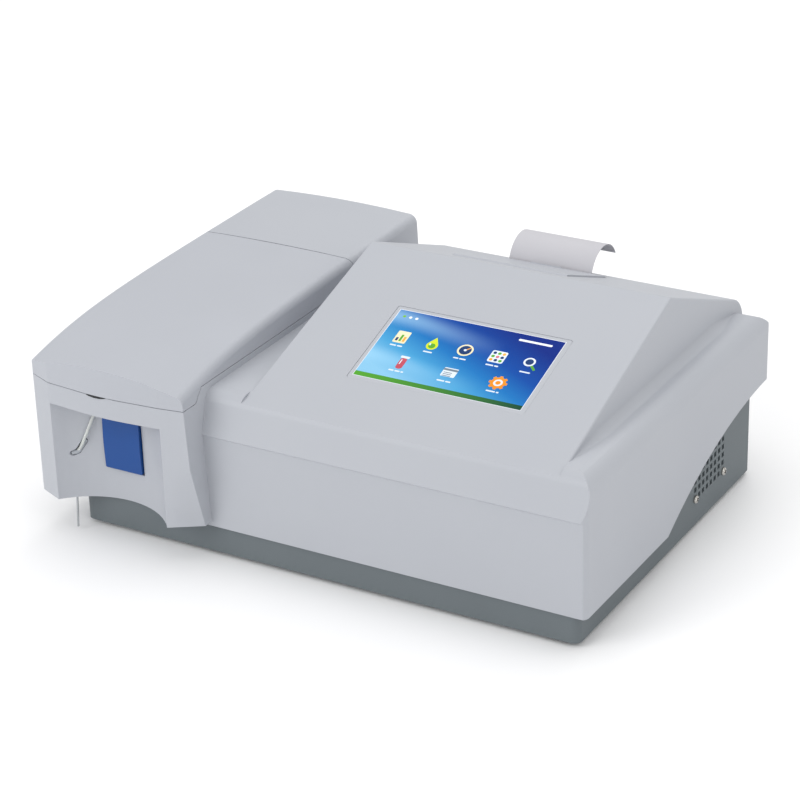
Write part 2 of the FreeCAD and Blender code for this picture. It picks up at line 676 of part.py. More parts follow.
def rear_panel_screws():
    half = (size("panel_right") - size("panel_left")) / 2 - 5
    middle = (size("panel_right") + size("panel_left")) / 2
    spots = [(middle + a * half, size("base_rear") + size("panel_t"), z) for a in (-1, 0, 1)
             for z in (size("panel_low") + 2.5, size("panel_high") - 2.5)]
    screws = [screw_at(f"panel_screw_{i}", spot, 2.8, 1.6, 1.5, size("panel_t"), (0, -1, 0))
              for i, spot in enumerate(spots, 1)]
    return node(group("rear_panel_screws", screws), "rear_panel_screws")


def rubber_feet():
    feet = []
    for i, (x, y) in enumerate(foot_places(), 1):
        pad_form = cone(f"foot_{i}", (x, y, 0), "foot_r - 1", "foot_r", "foot_h")
        well = rod(f"foot_well_{i}", (x, y, -1), 4.4, 3)
        hole = rod(f"foot_hole_{i}", (x, y, -1), "base_screw_r", 8)
        feet.append(cut(f"rubber_foot_{i}", pad_form, [well, hole]))
    return node(group("rubber_feet", feet), "rubber_feet")


def base_screws():
    spots = [(x, y, 2) for x, y in foot_places()] + [(x, y, size("foot_h")) for x, y in case_boss_places()]
    screws = [screw_at(f"base_screw_{i}", spot, 3.2, 1.6, size("base_screw_r"), 9, (0, 0, 1))
              for i, spot in enumerate(spots, 1)]
    return node(group("base_screws", screws), "base_screws")


# Fan


def fan_frame():
    """Square fan frame with its duct, screw corners and a three-arm motor mount."""
    half, depth = size("fan_size") / 2, size("fan_depth")
    right = size("base_right") - size("tray_wall")
    y, z = size("fan_y"), size("fan_z")
    corners = [(y - half, z - half, 3), (y + half, z - half, 3), (y + half, z + half, 3),
               (y - half, z + half, 3)]
    frame = prism("x", corners, right - depth, right)
    frame = frame.cut(cylinder((right - depth - 1, y, z), half - 1.5, depth + 2, (1, 0, 0)))
    waist = [(y - half + 7, z - half - 1), (y + half - 7, z - half - 1), (y + half - 7, z + half + 1),
             (y - half + 7, z + half + 1)]
    rim = prism("x", waist, right - depth + 4, right - 4)
    frame = frame.cut(rim.cut(cylinder((right - depth, y, z), half - 0.6, depth, (1, 0, 0))))
    for a, b in fan_screw_places():
        frame = frame.cut(cylinder((right - depth - 1, a, b), size("fan_screw_r"), depth + 2, (1, 0, 0)))
    hub = cylinder((right - depth, y, z), 12, 2, (1, 0, 0))
    for turn in (90, 210, 330):
        arm = Part.makeBox(2, half - 1, 3, Vector(right - depth, 0, -1.5))
        arm.rotate(Vector(), Vector(1, 0, 0), turn)
        arm.translate(Vector(0, y, z))
        hub = hub.fuse(arm)
    pin = cylinder((right - depth, y, z), 1.5, depth - 4.2, (1, 0, 0))
    return node(solid_of("fan_frame", frame.fuse([hub, pin])), "fan_frame")


def fan_rotor():
    """Hub with seven pitched blades on the frame's pin."""
    right = size("base_right") - size("tray_wall")
    depth, reach = size("fan_depth"), size("fan_size") / 2 - 2.6
    low, high = right - depth + 2.6, right - 2
    hub = cylinder((low, 0, 0), 11.5, high - low, (1, 0, 0))
    blades = []
    for i in range(7):
        blade = Part.makeBox(13.5, reach, 1.2, Vector(-6.75, 0, -0.6))
        blade.rotate(Vector(), Vector(0, 1, 0), 42)
        blade.translate(Vector((low + high) / 2, 0, 0))
        blade.rotate(Vector(), Vector(1, 0, 0), 360 * i / 7)
        blades.append(blade)
    swept = cylinder((low, 0, 0), reach, high - low, (1, 0, 0))
    rotor = hub.fuse([blade.common(swept) for blade in blades])
    rotor = rotor.cut(cylinder((low - 1, 0, 0), 1.55, high - low - 1, (1, 0, 0)))
    rotor.translate(Vector(0, size("fan_y"), size("fan_z")))
    return node(solid_of("fan_rotor", rotor), "fan_rotor")


def fan_screws():
    head_r, head_h, length = 3.1, 2.4, 14
    face, shank = size("base_right"), size("fan_screw_r")
    screws = [screw_at(f"fan_screw_{i}", (face, y, z), head_r, head_h, shank, length, (-1, 0, 0))
              for i, (y, z) in enumerate(fan_screw_places(), 1)]
    return node(group("fan_screws", screws), "fan_screws")


# Electrical parts


def main_board():
    """Controller board with a processor, connectors and electrolytics."""
    left, front, z = BOARD["left"], BOARD["front"], BOARD["z"]
    wide, deep, thick = BOARD["right"] - left, BOARD["rear"] - front, BOARD["t"]
    top = z + thick
    pieces = [box("board_sheet", (left, front, z), (wide, deep, thick)),
              box("board_processor", (left + 60, front + 40, top), (24, 24, 2)),
              box("board_memory", (left + 95, front + 44, top), (14, 10, 1.5))]
    for i in range(4):
        pieces.append(box(f"board_header_{i}", (left + 14 + 34 * i, front + 4, top), (24, 7, 9)))
        pieces.append(rod(f"board_capacitor_{i}", (left + 20 + 16 * i, front + 84, top), 4.5, 12))
    return node(fuse("main_board", pieces), "main_board")


def power_supply():
    """Enclosed supply: folded metal case with vent slots."""
    case = box("supply_case", (30, 44, "foot_h + tray_floor"), (110, 78, 38))
    hollow = box("supply_hollow", (31.2, 45.2, "foot_h + tray_floor + 1.2"), (107.6, 75.6, 35.6))
    slots = [box(f"supply_slot_{i}", (40 + 9 * i, 54, 30), (4, 58, 20)) for i in range(11)]
    coil = box("supply_transformer", (60, 60, "foot_h + tray_floor + 1.2"), (34, 40, 26))
    return node(fuse("power_supply", [cut("supply_shell", case, [hollow] + slots), coil]), "power_supply")


def power_inlet():
    """Three-pin mains inlet with its flange, well and pins."""
    x, z, y = size("inlet_x"), size("panel_mid_z"), size("base_rear") + size("panel_t")
    flange = [(x - 24, z - 12, 2), (x + 24, z - 12, 2), (x + 24, z + 12, 2), (x - 24, z + 12, 2)]
    barrel = [(x - 13.5, z - 10, 2), (x + 13.5, z - 10, 2), (x + 13.5, z + 4), (x + 8, z + 10),
              (x - 8, z + 10), (x - 13.5, z + 4)]
    well = [(x - 12, z - 8.3, 1), (x + 12, z - 8.3, 1), (x + 12, z + 3.4), (x + 7.4, z + 8.3),
            (x - 7.4, z + 8.3), (x - 12, z + 3.4)]
    body = prism("y", flange, y, y + 2.4).fuse(prism("y", barrel, y - 22, y + 2.4))
    body = body.cut(prism("y", well, y - 14, y + 3))
    for dx, dz in ((-7, -2), (7, -2), (0, 2.5)):
        body = body.fuse(block((x + dx - 1, y - 16, z + dz - 2), (x + dx + 1, y - 1, z + dz + 2)))
    return node(solid_of("power_inlet", body), "power_inlet")


def power_switch():
    """Rocker switch: bezel and the rocker that tilts in it."""
    x, z, y = size("switch_x"), size("panel_mid_z"), size("base_rear") + size("panel_t")
    bezel = [(x - 11, z - 8, 1.5), (x + 11, z - 8, 1.5), (x + 11, z + 8, 1.5), (x - 11, z + 8, 1.5)]
    body = prism("y", bezel, y, y + 2).fuse(block((x - 9.4, y - 16, z - 6.4), (x + 9.4, y + 1, z + 6.4)))
    body = body.cut(block((x - 8.4, y - 9, z - 5.4), (x + 8.4, y + 3, z + 5.4)))
    body = body.cut(cylinder((x, y - 1.5, z - 7), 1.05, 14, (0, 0, 1)))
    rocker = [(x - 8, y + 1.2, 1), (x, y - 0.2, 12), (x + 8, y + 1.2, 1), (x + 5, y - 4.5, 1),
              (x - 5, y - 4.5, 1)]
    key = prism("z", rocker, z - 5, z + 5).fuse(cylinder((x, y - 1.5, z - 6.2), 1, 12.4, (0, 0, 1)))
    key.rotate(Vector(x, y - 1.5, z), Vector(0, 0, 1), size("rocker_tilt"))
    node(solid_of("switch_body", body), "switch_body")
    return node(solid_of("power_rocker", key), "power_rocker")


def serial_port():
    """Nine-way port: stepped shell with a D outline and two jack posts."""
    x, z, y = size("serial_x"), size("panel_mid_z"), size("base_rear") + size("panel_t")
    flange = [(x - 15.4, z - 6.2, 1), (x + 15.4, z - 6.2, 1), (x + 15.4, z + 6.2, 1), (x - 15.4, z + 6.2, 1)]
    dee = [(x - 7.4, z - 4, 1.5), (x + 7.4, z - 4, 1.5), (x + 8.9, z + 4, 1.5), (x - 8.9, z + 4, 1.5)]
    hollow = [(x - 6.7, z - 3.3, 1), (x + 6.7, z - 3.3, 1), (x + 8.1, z + 3.3, 1), (x - 8.1, z + 3.3, 1)]
    port = prism("y", flange, y, y + 1).fuse(prism("y", dee, y, y + 6.5))
    port = port.cut(prism("y", hollow, y + 2, y + 8)).fuse(block((x - 10, y - 10, z - 5), (x + 10, y, z + 5)))
    for side in (-1, 1):
        post = outline([(x + side * 12.5 + 2.6 * math.cos(a), z + 2.6 * math.sin(a))
                        for a in (math.pi / 3 * k for k in range(6))], lambda p: Vector(p.x, y, p.y))
        port = port.fuse(post.extrude(Vector(0, 5, 0)))
    return node(solid_of("serial_port", port), "serial_port")


def usb_port():
    """Square data socket with its tongue."""
    shell = box("usb_shell", ("usb_x - 6", "base_rear - 12", "panel_mid_z - 5.5"), (12, "13 + panel_t", 11))
    well = box("usb_well", ("usb_x - 4.4", "base_rear - 8", "panel_mid_z - 4"), (8.8, 12, 8))
    tongue = box("usb_tongue", ("usb_x - 2.8", "base_rear - 9", "panel_mid_z - 1.5"), (5.6, 9, 3))
    return node(fuse("usb_port", [cut("usb_case", shell, [well]), tongue]), "usb_port")


def waste_nipple():
    """Hose nipple through the rear panel, turned as one profile with a lead-in at its tip."""
    radius, flange, plate = size("nipple_r"), size("nipple_flange_r"), size("panel_t")
    reach, lead, nut = size("nipple_reach"), 0.8, plate + 3
    profile = [(0, -14), (radius - 0.4, -14), (radius - 0.4, -2.2), (flange, -2.2), (flange, 0),
               (radius + 0.6, 0), (radius + 0.6, plate), (flange - 0.5, plate), (flange - 0.5, nut),
               (radius, nut), (radius, reach - lead), (radius - lead / 2, reach), (0, reach)]
    face = outline(profile, lambda p: Vector(p.x, p.y, 0))
    turned = face.revolve(Vector(), Vector(0, 1, 0), 360)
    turned = turned.cut(cylinder((0, -20, 0), size("nipple_bore_r"), 60, (0, 1, 0)))
    turned.translate(Vector(size("waste_x"), size("base_rear"), size("panel_mid_z")))
    return node(solid_of("waste_nipple", turned), "waste_nipple")


# Display


def display():
    """Touch glass flush with the panel, the display under it and the bracket that holds both."""
    rim, glass, lcd = 2 * size("glass_rim"), size("glass_h"), size("lcd_h")
    wide, long = size("screen_w") + rim, size("screen_h") + rim
    node(solid_of("touch_glass", on_panel(wide, long, -0.2 - glass, -0.2, radius=1.8)), "touch_glass")
    under = -0.2 - glass
    module = on_panel(wide - 2, long - 2, under - lcd, under, radius=1)
    module = module.fuse(on_panel(wide - 24, long - 18, under - lcd - 2.5, under - lcd))
    node(solid_of("lcd_module", module), "lcd_module")
    low = under - lcd - 2
    bracket = on_panel(wide + 22, long + 4, low, under - lcd, radius=4)
    bracket = bracket.cut(on_panel(wide - 20, long - 14, low - 1, 0, radius=3))
    skin, foot = -size("wall"), 7
    posts = [on_panel(foot, foot, under - lcd, skin, a * (wide / 2 + foot), b * (long / 2 - 6), 2)
             for a in (-1, 1) for b in (-1, 1)]
    return node(solid_of("display_bracket", bracket.fuse(posts)), "display_bracket")


# Printer


def gear(teeth, module, width, start):
    """A spur gear about an X axis, with plain flanks and a little backlash."""
    pitch = teeth * module / 2
    tip, root = pitch + 0.75 * module, pitch - 0.95 * module
    step = 2 * math.pi / teeth
    points = []
    for i in range(teeth):
        for radius, share in ((root, -0.3), (tip, -0.12), (tip, 0.12), (root, 0.3)):
            angle = step * (i + share)
            points.append((radius * math.cos(angle), radius * math.sin(angle)))
    face = outline(points, lambda p: Vector(0, p.x, p.y))
    wheel = face.extrude(Vector(width, 0, 0))
    wheel.translate(start)
    return wheel


def printer_lid():
    """Lid on the rear slope: its front edge is an arc about the pin, and two ears take the pins."""
    half, low, high = size("bay_half"), -size("door_t"), size("door_rise")
    pin_y, pin_z, bay = size("door_pin_y"), door_pin_z(), size("bay_x")
    lid = on_slope(2 * half, pin_y + 2.4, size("slot_y") - 1.4, low, high)
    arc = cylinder((bay - half, pin_y, pin_z), size("door_arc"), 2 * half, (1, 0, 0))
    lid = lid.fuse(on_slope(2 * half, pin_y - 14, pin_y + 2.4, low, high).common(arc))
    lid = lid.fuse(on_slope(26, size("slot_y") - 8, size("slot_y") - 5.5, high, high + 0.8, 1))
    under = on_slope(2 * half, pin_y - 14, size("slot_y"), -20, low + 0.2)
    for start in (bay - half, bay + half - 2.5):
        ear = cylinder((start, pin_y, pin_z), 3.4, 2.5, (1, 0, 0))
        ear = ear.fuse(block((start, pin_y - 3.4, pin_z), (start + 2.5, pin_y + 3.4, pin_z + 9)))
        bore = cylinder((start - 1, pin_y, pin_z), size("door_pin_r") + 0.06, 5, (1, 0, 0))
        lid = lid.fuse(ear.common(under)).cut(bore)
    return node(solid_of("printer_lid", lid), "printer_lid")


def printer_chassis():
    """Two side plates under the slope, joined by a floor, a rear wall and the roll spindle."""
    bay, half, plate = size("bay_x"), size("chassis_half"), size("chassis_t")
    low, rear = size("chassis_low"), size("chassis_rear")
    front = size("door_pin_y") - 4.5
    side = [(front, 200), (front, 158), (70, low), (rear, low), (rear, 200)]
    roof = on_slope(4 * half, 30, rear + 20, -120, -size("wall"))
    chassis = block((bay - half, 70, low), (bay + half, rear, low + plate))
    chassis = chassis.fuse(block((bay - half, rear - 2, low), (bay + half, rear, 136)))
    for start in (bay - half - plate, bay + half):
        wall = prism("x", side, start, start + plate).common(roof)
        pin = cylinder((start - 1, size("door_pin_y"), door_pin_z()), size("door_pin_r"), 6, (1, 0, 0))
        eye = (start - 1, size("platen_y"), size("platen_z"))
        shaft = cylinder(eye, size("shaft_r") + 0.06, 6, (1, 0, 0))
        motor = cylinder((start - 1, pinion_spot().y, pinion_spot().z), 4, 6, (1, 0, 0))
        wall = wall.cut([pin, shaft] + ([motor] if start > bay else []))
        chassis = chassis.fuse(wall)
    middle = (bay - half, size("roll_y"), size("roll_z"))
    spindle = cylinder(middle, size("roll_core_r") - 0.08, 2 * half, (1, 0, 0))
    return node(solid_of("printer_chassis", chassis.fuse(spindle)), "printer_chassis")


def printer_lid_pins():
    length = "chassis_t + chassis_half - bay_half + 3"
    starts = ("bay_x - chassis_half - chassis_t", "bay_x + bay_half - 3")
    pins = [rod(f"door_pin_{i}", (start, "door_pin_y", door_pin_z()), "door_pin_r", length, "x")
            for i, start in enumerate(starts, 1)]
    return node(group("printer_lid_pins", pins), "printer_lid_pins")


def gear_start():
    return size("bay_x") + size("chassis_half") + size("chassis_t") + 0.5


def platen_roller():
    """Rubber platen on a steel shaft that turns in the side plates, with its drive gear outside."""
    y, z, bay, half = size("platen_y"), size("platen_z"), size("bay_x"), size("chassis_half")
    rubber = cylinder((bay - half + 4, y, z), size("platen_r"), 2 * half - 8, (1, 0, 0))
    start = bay - half - size("chassis_t")
    shaft = cylinder((start, y, z), size("shaft_r"), gear_start() + 3.5 - start, (1, 0, 0))
    node(solid_of("platen_roller", rubber.fuse(shaft)), "platen_roller")
    wheel = gear(int(size("platen_teeth")), size("gear_module"), 3.5, Vector(gear_start(), y, z))
    return node(solid_of("platen_gear", wheel.cut(shaft)), "platen_gear")


def pinion_spot():
    """The pinion's centre, at the pitch distance in front of the platen's and a little above."""
    reach = (size("platen_teeth") + size("pinion_teeth")) * size("gear_module") / 2 + 0.1
    lift = 3
    return Vector(gear_start(), size("platen_y") - math.sqrt(reach ** 2 - lift ** 2), size("platen_z") + lift)


def printer_drive():
    """Stepper on standoffs outside the right plate, its pinion in mesh with the platen gear."""
    spot = pinion_spot()
    toward = math.degrees(math.atan2(size("platen_z") - spot.z, size("platen_y") - spot.y))
    wheel = gear(int(size("pinion_teeth")), size("gear_module"), 3.5, Vector())
    wheel.rotate(Vector(), Vector(1, 0, 0), mesh_angle(toward))
    wheel.translate(spot)
    shaft = cylinder((spot.x, spot.y, spot.z), 1, 9, (1, 0, 0))
    node(solid_of("motor_pinion", wheel.fuse(shaft)), "motor_pinion")
    face = spot.x + 5
    can = cylinder((face, spot.y, spot.z), 9, 16, (1, 0, 0))
    can = can.fuse(block((face, spot.y - 15, spot.z - 3), (face + 1.2, spot.y + 3, spot.z + 3)))
    can = can.fuse(block((face, spot.y - 3, spot.z - 15), (face + 1.2, spot.y + 3, spot.z + 3)))
    can = can.cut(cylinder((face - 1, spot.y, spot.z), 1.1, 6, (1, 0, 0)))
    wall = spot.x - 0.5
    for y, z in ((spot.y - 12.5, spot.z), (spot.y, spot.z - 12.5)):
        can = can.fuse(cylinder((wall, y, z), 2, face - wall, (1, 0, 0)))
    return node(solid_of("printer_motor", can), "printer_motor")


def mesh_angle(toward):
    """Turn of the pinion that puts a gap of its own where a platen tooth meets it."""
    big, small = 360 / size("platen_teeth"), 360 / size("pinion_teeth")
    phase = (toward + 180) % big / big
    return toward + small * (phase - 0.5)


def print_head():
    """Thermal head behind the paper on its heat-sink plate and cross bar."""
    bay, half, y, z = size("bay_x"), size("chassis_half"), size("slot_y") - 0.3, size("platen_z")
    head = block((bay - 36, y, z - 6), (bay + 36, y + 1.6, z + 6))
    plate = block((bay - 38, y + 1.6, z - 18), (bay + 38, y + 3.4, z + 6))
    bar = block((bay - half, y + 3.4, z - 17), (bay + half, y + 5.4, z - 9))
    return node(solid_of("print_head", head.fuse([plate, bar])), "print_head")


def paper_roll():
    half = size("paper_w") / 2 - 0.3
    y, z, bay = size("roll_y"), size("roll_z"), size("bay_x")
    roll = cylinder((bay - half, y, z), size("roll_r"), 2 * half, (1, 0, 0))
    core = cylinder((bay - half - 1, y, z), size("roll_core_r"), 2 * half + 2, (1, 0, 0))
    return node(solid_of("paper_roll", roll.cut(core)), "paper_roll")


def paper_strip():
    """The web from the roll past the platen, out of the slot and over in its own curl."""
    thick, curl = size("paper_t"), size("paper_curl")
    leave, rise = size("roll_y") + size("roll_r") + 0.4, size("roll_z")
    y, start = size("slot_y") - 0.85, slope_z(size("slot_y")) - 6.7
    lean = math.atan2(y - leave, 9)
    bend = thick * math.tan(lean / 2)
    tip = math.radians(size("paper_tip"))
    sides = []
    for shift, drop, radius in ((0, 0, curl), (thick, bend, curl - thick)):
        run = [Vector(0, leave + shift, rise - 4), Vector(0, leave + shift, rise - drop),
               Vector(0, y + shift, rise + 9 - drop), Vector(0, y + shift, start)]
        centre = Vector(0, y + curl, start)
        arc = [centre + Vector(0, radius * math.cos(a), radius * math.sin(a))
               for a in (math.pi, (math.pi + tip) / 2, tip)]
        sides.append((run, arc))
    edges = []
    for run, arc in sides:
        edges += [Part.makeLine(a, b) for a, b in zip(run, run[1:])] + [Part.Arc(*arc).toShape()]
    edges.append(Part.makeLine(sides[0][0][0], sides[1][0][0]))
    edges.append(Part.makeLine(sides[0][1][2], sides[1][1][2]))
    outline_wire = Part.Wire(Part.__sortEdges__(edges))
    strip = Part.Face(outline_wire).extrude(Vector(size("paper_w"), 0, 0))
    strip.translate(Vector(size("bay_x") - size("paper_w") / 2, 0, 0))
    return node(solid_of("paper_strip", strip), "paper_strip")


# Photometer


def optical_bench():
    """Machined plate on four legs, slotted for the filter wheel."""
    plate = box("bench_plate", ("bench_left", "bench_front", "bench_z"),
                ("bench_right - bench_left", "bench_rear - bench_front", "bench_t"))
    slot = box("bench_slot", ("beam_x - wheel_r - 3", "wheel_y - 5", "bench_z - 1"),
               ("2 * wheel_r + 6", 10, 8))
    legs = [rod(f"bench_leg_{i}", (x, y, "foot_h + tray_floor"), 5, "bench_z - foot_h - tray_floor")
            for i, (x, y) in enumerate((a, b) for a in ("bench_left + 8", "bench_right - 8")
                                       for b in ("bench_front + 8", "bench_rear - 8"))]
    return node(fuse("optical_bench", [cut("bench_slotted", plate, [slot])] + legs), "optical_bench")


def lamp():
    """Finned lamp house with the halogen lamp on the beam."""
    x, y, z = size("beam_x"), size("lamp_y"), size("beam_z")
    base = size("bench_z") + size("bench_t")
    house = block((x - 20, y - 14, base), (x + 20, y + 14, 98))
    house = house.cut(block((x - 14, y - 10, base + 4), (x + 14, y + 10, 99)))
    fins = [block((x - 24, y - 14 + 5.2 * i, base), (x + 24, y - 12.2 + 5.2 * i, 96)) for i in range(6)]
    fins = [fin.cut(block((x - 19, y - 20, 0), (x + 19, y + 20, 120))) for fin in fins]
    house = house.fuse(fins).cut(cylinder((x, y - 20, z), 5, 12, (0, 1, 0)))
    node(solid_of("lamp_housing", house), "lamp_housing")
    bulb = cylinder((x, y, z - 6), 5, 10, (0, 0, 1)).fuse(Part.makeSphere(5, Vector(x, y, z + 4)))
    bulb = bulb.fuse(block((x - 6, y - 3, base + 4), (x + 6, y + 3, z - 6)))
    return node(solid_of("halogen_lamp", bulb), "halogen_lamp")


def condenser():
    """Lens in its upright holder."""
    x, y, z = size("beam_x"), size("lens_y"), size("beam_z")
    base = size("bench_z") + size("bench_t")
    holder = block((x - 12, y - 4, base), (x + 12, y + 4, z)).fuse(cylinder((x, y - 4, z), 12, 8, (0, 1, 0)))
    holder = holder.cut(cylinder((x, y - 5, z), 8, 10, (0, 1, 0)))
    holder = holder.fuse(block((x - 18, y - 4, base), (x + 18, y + 4, base + 3)))
    node(solid_of("lens_holder", holder), "lens_holder")
    dome = Part.makeSphere(14, Vector(x, y - 11.5, z)).common(Part.makeSphere(14, Vector(x, y + 11.5, z)))
    lens = dome.fuse(cylinder((x, y - 1, z), 8, 2, (0, 1, 0)))
    return node(solid_of("condenser_lens", lens), "condenser_lens")


def wheel_z():
    return size("beam_z") - size("filter_circle")


def filter_wheel():
    """Wheel with eight filter seats, a polar pattern about its axis."""
    body = new_body("filter_wheel")
    disc = sketch_on(body, "XZ_Plane", "wheel_outline")
    circle(disc, "wheel_r")
    pad(body, "wheel_disc", disc, "wheel_t", True)
    hub = sketch_on(body, "XZ_Plane", "wheel_hub_outline")
    circle(hub, 6)
    pad(body, "wheel_hub", hub, "wheel_t + 3", True)
    seats = sketch_on(body, "XZ_Plane", "wheel_seat", "-5")
    circle(seats, "filter_r", "0", "filter_circle")
    seat = pocket(body, "wheel_seats", seats, 12, True)
    pattern = body.newObject("PartDesign::PolarPattern", "wheel_pattern")
    pattern.Originals = [seat]
    pattern.Axis = (origin_axis(body, "Y_Axis"), [""])
    pattern.Angle = 360
    pattern.Occurrences = 8
    body.Tip = pattern
    bore = sketch_on(body, "XZ_Plane", "wheel_bore", "-8")
    circle(bore, 2.05)
    pocket(body, "wheel_bore_cut", bore, 20, True)
    place(body, ("beam_x", "wheel_y", wheel_z()))
    doc.recompute()
    check_wheel(body)
    return node(body, "filter_wheel")


def origin_axis(body, role):
    return next(item for item in body.Origin.OriginFeatures if item.Role == role)


def check_wheel(body):
    """The seats and bore must really be cut."""
    thick = size("wheel_t")
    solid = math.pi * size("wheel_r") ** 2 * thick + math.pi * 36 * 3
    seats = 8 * math.pi * size("filter_r") ** 2 * thick + math.pi * 2.05 ** 2 * (thick + 3)
    if abs(body.Shape.Volume - (solid - seats)) > 5:
        raise RuntimeError(f"filter wheel volume {body.Shape.Volume:.0f}, expected {solid - seats:.0f}")


def interference_filters():
    filters = []
    for i in range(8):
        turn = math.radians(45 * i + 90)
        x = size("beam_x") + size("filter_circle") * math.cos(turn)
        z = wheel_z() + size("filter_circle") * math.sin(turn)
        start = (x, "wheel_y - wheel_t / 2 + 0.3", z)
        filters.append(rod(f"filter_{i + 1}", start, "filter_r", "wheel_t - 0.6", "y"))
    return node(group("interference_filters", filters), "interference_filters")


def filter_wheel_motor():
    """Flat stepper on the bench, its shaft through the wheel."""
    x, y, z = size("beam_x"), size("wheel_y"), wheel_z()
    base = size("bench_z") + size("bench_t")
    can = cylinder((x, y - 17, z), 13, 11.5, (0, 1, 0)).fuse(cylinder((x, y - 6, z), 2, 12, (0, 1, 0)))
    bracket = block((x - 17, y - 17, base), (x + 17, y - 15.4, z + 4))
    bracket = bracket.fuse(block((x - 17, y - 17, base), (x + 17, y - 7, base + 1.6)))
    return node(solid_of("filter_wheel_motor", can.fuse(bracket)), "filter_wheel_motor")


def flow_cell():
    """Thermostatted block with the quartz cell in it and two tube fittings on top."""
    x, y, z = size("beam_x"), size("cell_y"), size("beam_z")
    base = size("bench_z") + size("bench_t")
    body = block((x - 13, y - 9, base), (x + 13, y + 9, 112))
    body = body.cut(block((x - 5.1, y - 5.1, z - 14), (x + 5.1, y + 5.1, 113)))
    body = body.cut(cylinder((x, y - 12, z), 3, 24, (0, 1, 0)))
    fits = [cylinder((x + side * 9, y, 112), 2.6, 4, (0, 0, 1)) for side in (-1, 1)]
    bores = [cylinder((x + side * 9, y, 113), size("tube_r"), 4, (0, 0, 1)) for side in (-1, 1)]
    node(solid_of("flow_cell_block", body.fuse(fits).cut(bores)), "flow_cell_block")
    cell = block((x - 5, y - 5, z - 14), (x + 5, y + 5, 111))
    cell = cell.cut(block((x - 1, y - 1.5, z - 8), (x + 1, y + 1.5, 112)))
    return node(solid_of("flow_cell", cell), "flow_cell")


def detector_board():
    """Upright board with the photodiode on the beam, its amplifier and a connector."""
    x, y, z = size("beam_x"), size("detector_y"), size("beam_z")
    base = size("bench_z") + size("bench_t")
    board = block((x - 20, y, base), (x + 20, y + 1.6, 100)).fuse(cylinder((x, y + 1.6, z), 4, 4, (0, 1, 0)))
    board = board.fuse([block((x - 16, y - 5, base), (x + 16, y, base + 6)),
                        block((x - 12, y - 2, z - 12), (x - 2, y, z - 4))])
    return node(solid_of("detector_board", board), "detector_board")


# Compartment under the lid


def compartment_tray():
    """Floor of the lidded compartment with its rear wall, openings and posts to the bench."""
    top, thick = size("floor_z"), size("floor_t")
    low = top - thick
    floor = block((-216, -141, low), (-84.6, 70, top)).fuse(block((-216, 70, low), (-88.5, 72, 141)))
    cell_x, cell_y = size("beam_x"), size("cell_y")
    cell = block((cell_x - 15, cell_y - 11, low - 1), (cell_x + 15, cell_y + 11, top + 1))
    motor = cylinder((size("pump_x"), size("pump_y"), low - 1), 6, 5, (0, 0, 1))
    waste = cylinder((-89, -21, low - 1), 3.6, 5, (0, 0, 1))
    bench = size("bench_z") + size("bench_t")
    posts = [cylinder((x, y, bench), 3.5, low - bench, (0, 0, 1))
             for x in (size("bench_left") + 8, size("bench_right") - 8)
             for y in (size("bench_front") + 8, 48)]
    return node(solid_of("compartment_tray", floor.cut([cell, motor, waste]).fuse(posts)), "compartment_tray")


def pump():
    """Peristaltic pump: motor under the floor, horseshoe housing, rotor and three rollers."""
    x, y, top = size("pump_x"), size("pump_y"), size("floor_z")
    low, high = top, top + size("pump_h")
    can = cylinder((x, y, 62), 14, top - size("floor_t") - 62, (0, 0, 1))
    node(solid_of("pump_motor", can.fuse(cylinder((x, y, 90), 2.5, high - 92, (0, 0, 1)))), "pump_motor")
    half = size("pump_r") + 4
    outer = [(x - half, y - half, 12), (x + half, y - half, 12), (x + half, y + half - 6, 2),
             (x - half, y + half - 6, 2)]
    form = prism("z", outer, low, high)
    radius = size("pump_r")
    form = form.cut(cylinder((x, y, low + 2), radius, 30, (0, 0, 1)))
    form = form.cut(block((x - radius, y, low + 2), (x + radius, y + 40, high + 1)))
    form = form.cut(cylinder((x, y, low - 1), 6, 8, (0, 0, 1)))
    node(solid_of("pump_housing", form), "pump_housing")
    cheeks = [cylinder((x, y, z), 14.6, 1.6, (0, 0, 1)) for z in (low + 2.6, high - 3)]
    rotor = cheeks[0].fuse(cheeks[1])
    rotor = rotor.fuse(cylinder((x, y, low + 2.6), 5, high - low - 4, (0, 0, 1)))
    rotor = rotor.cut(cylinder((x, y, low), 2.52, size("pump_h") - 1.9, (0, 0, 1)))
    for i, (a, b) in enumerate(roller_places(), 1):
        rotor = rotor.fuse(cylinder((a, b, low + 2.6), 1.4, high - low - 4, (0, 0, 1)))
        roller = cylinder((a, b, low + 4.5), size("roller_r"), high - low - 7.8, (0, 0, 1))
        roller = roller.cut(cylinder((a, b, low), 1.45, 30, (0, 0, 1)))
        node(solid_of(f"pump_roller_{i}", roller), f"pump_roller_{i}")
    return node(solid_of("pump_rotor", rotor), "pump_rotor")


def roller_places():
    x, y, radius = size("pump_x"), size("pump_y"), size("roller_circle")
    turns = [math.radians(90 + 120 * i) for i in range(3)]
    return [(x + radius * math.cos(turn), y + radius * math.sin(turn)) for turn in turns]


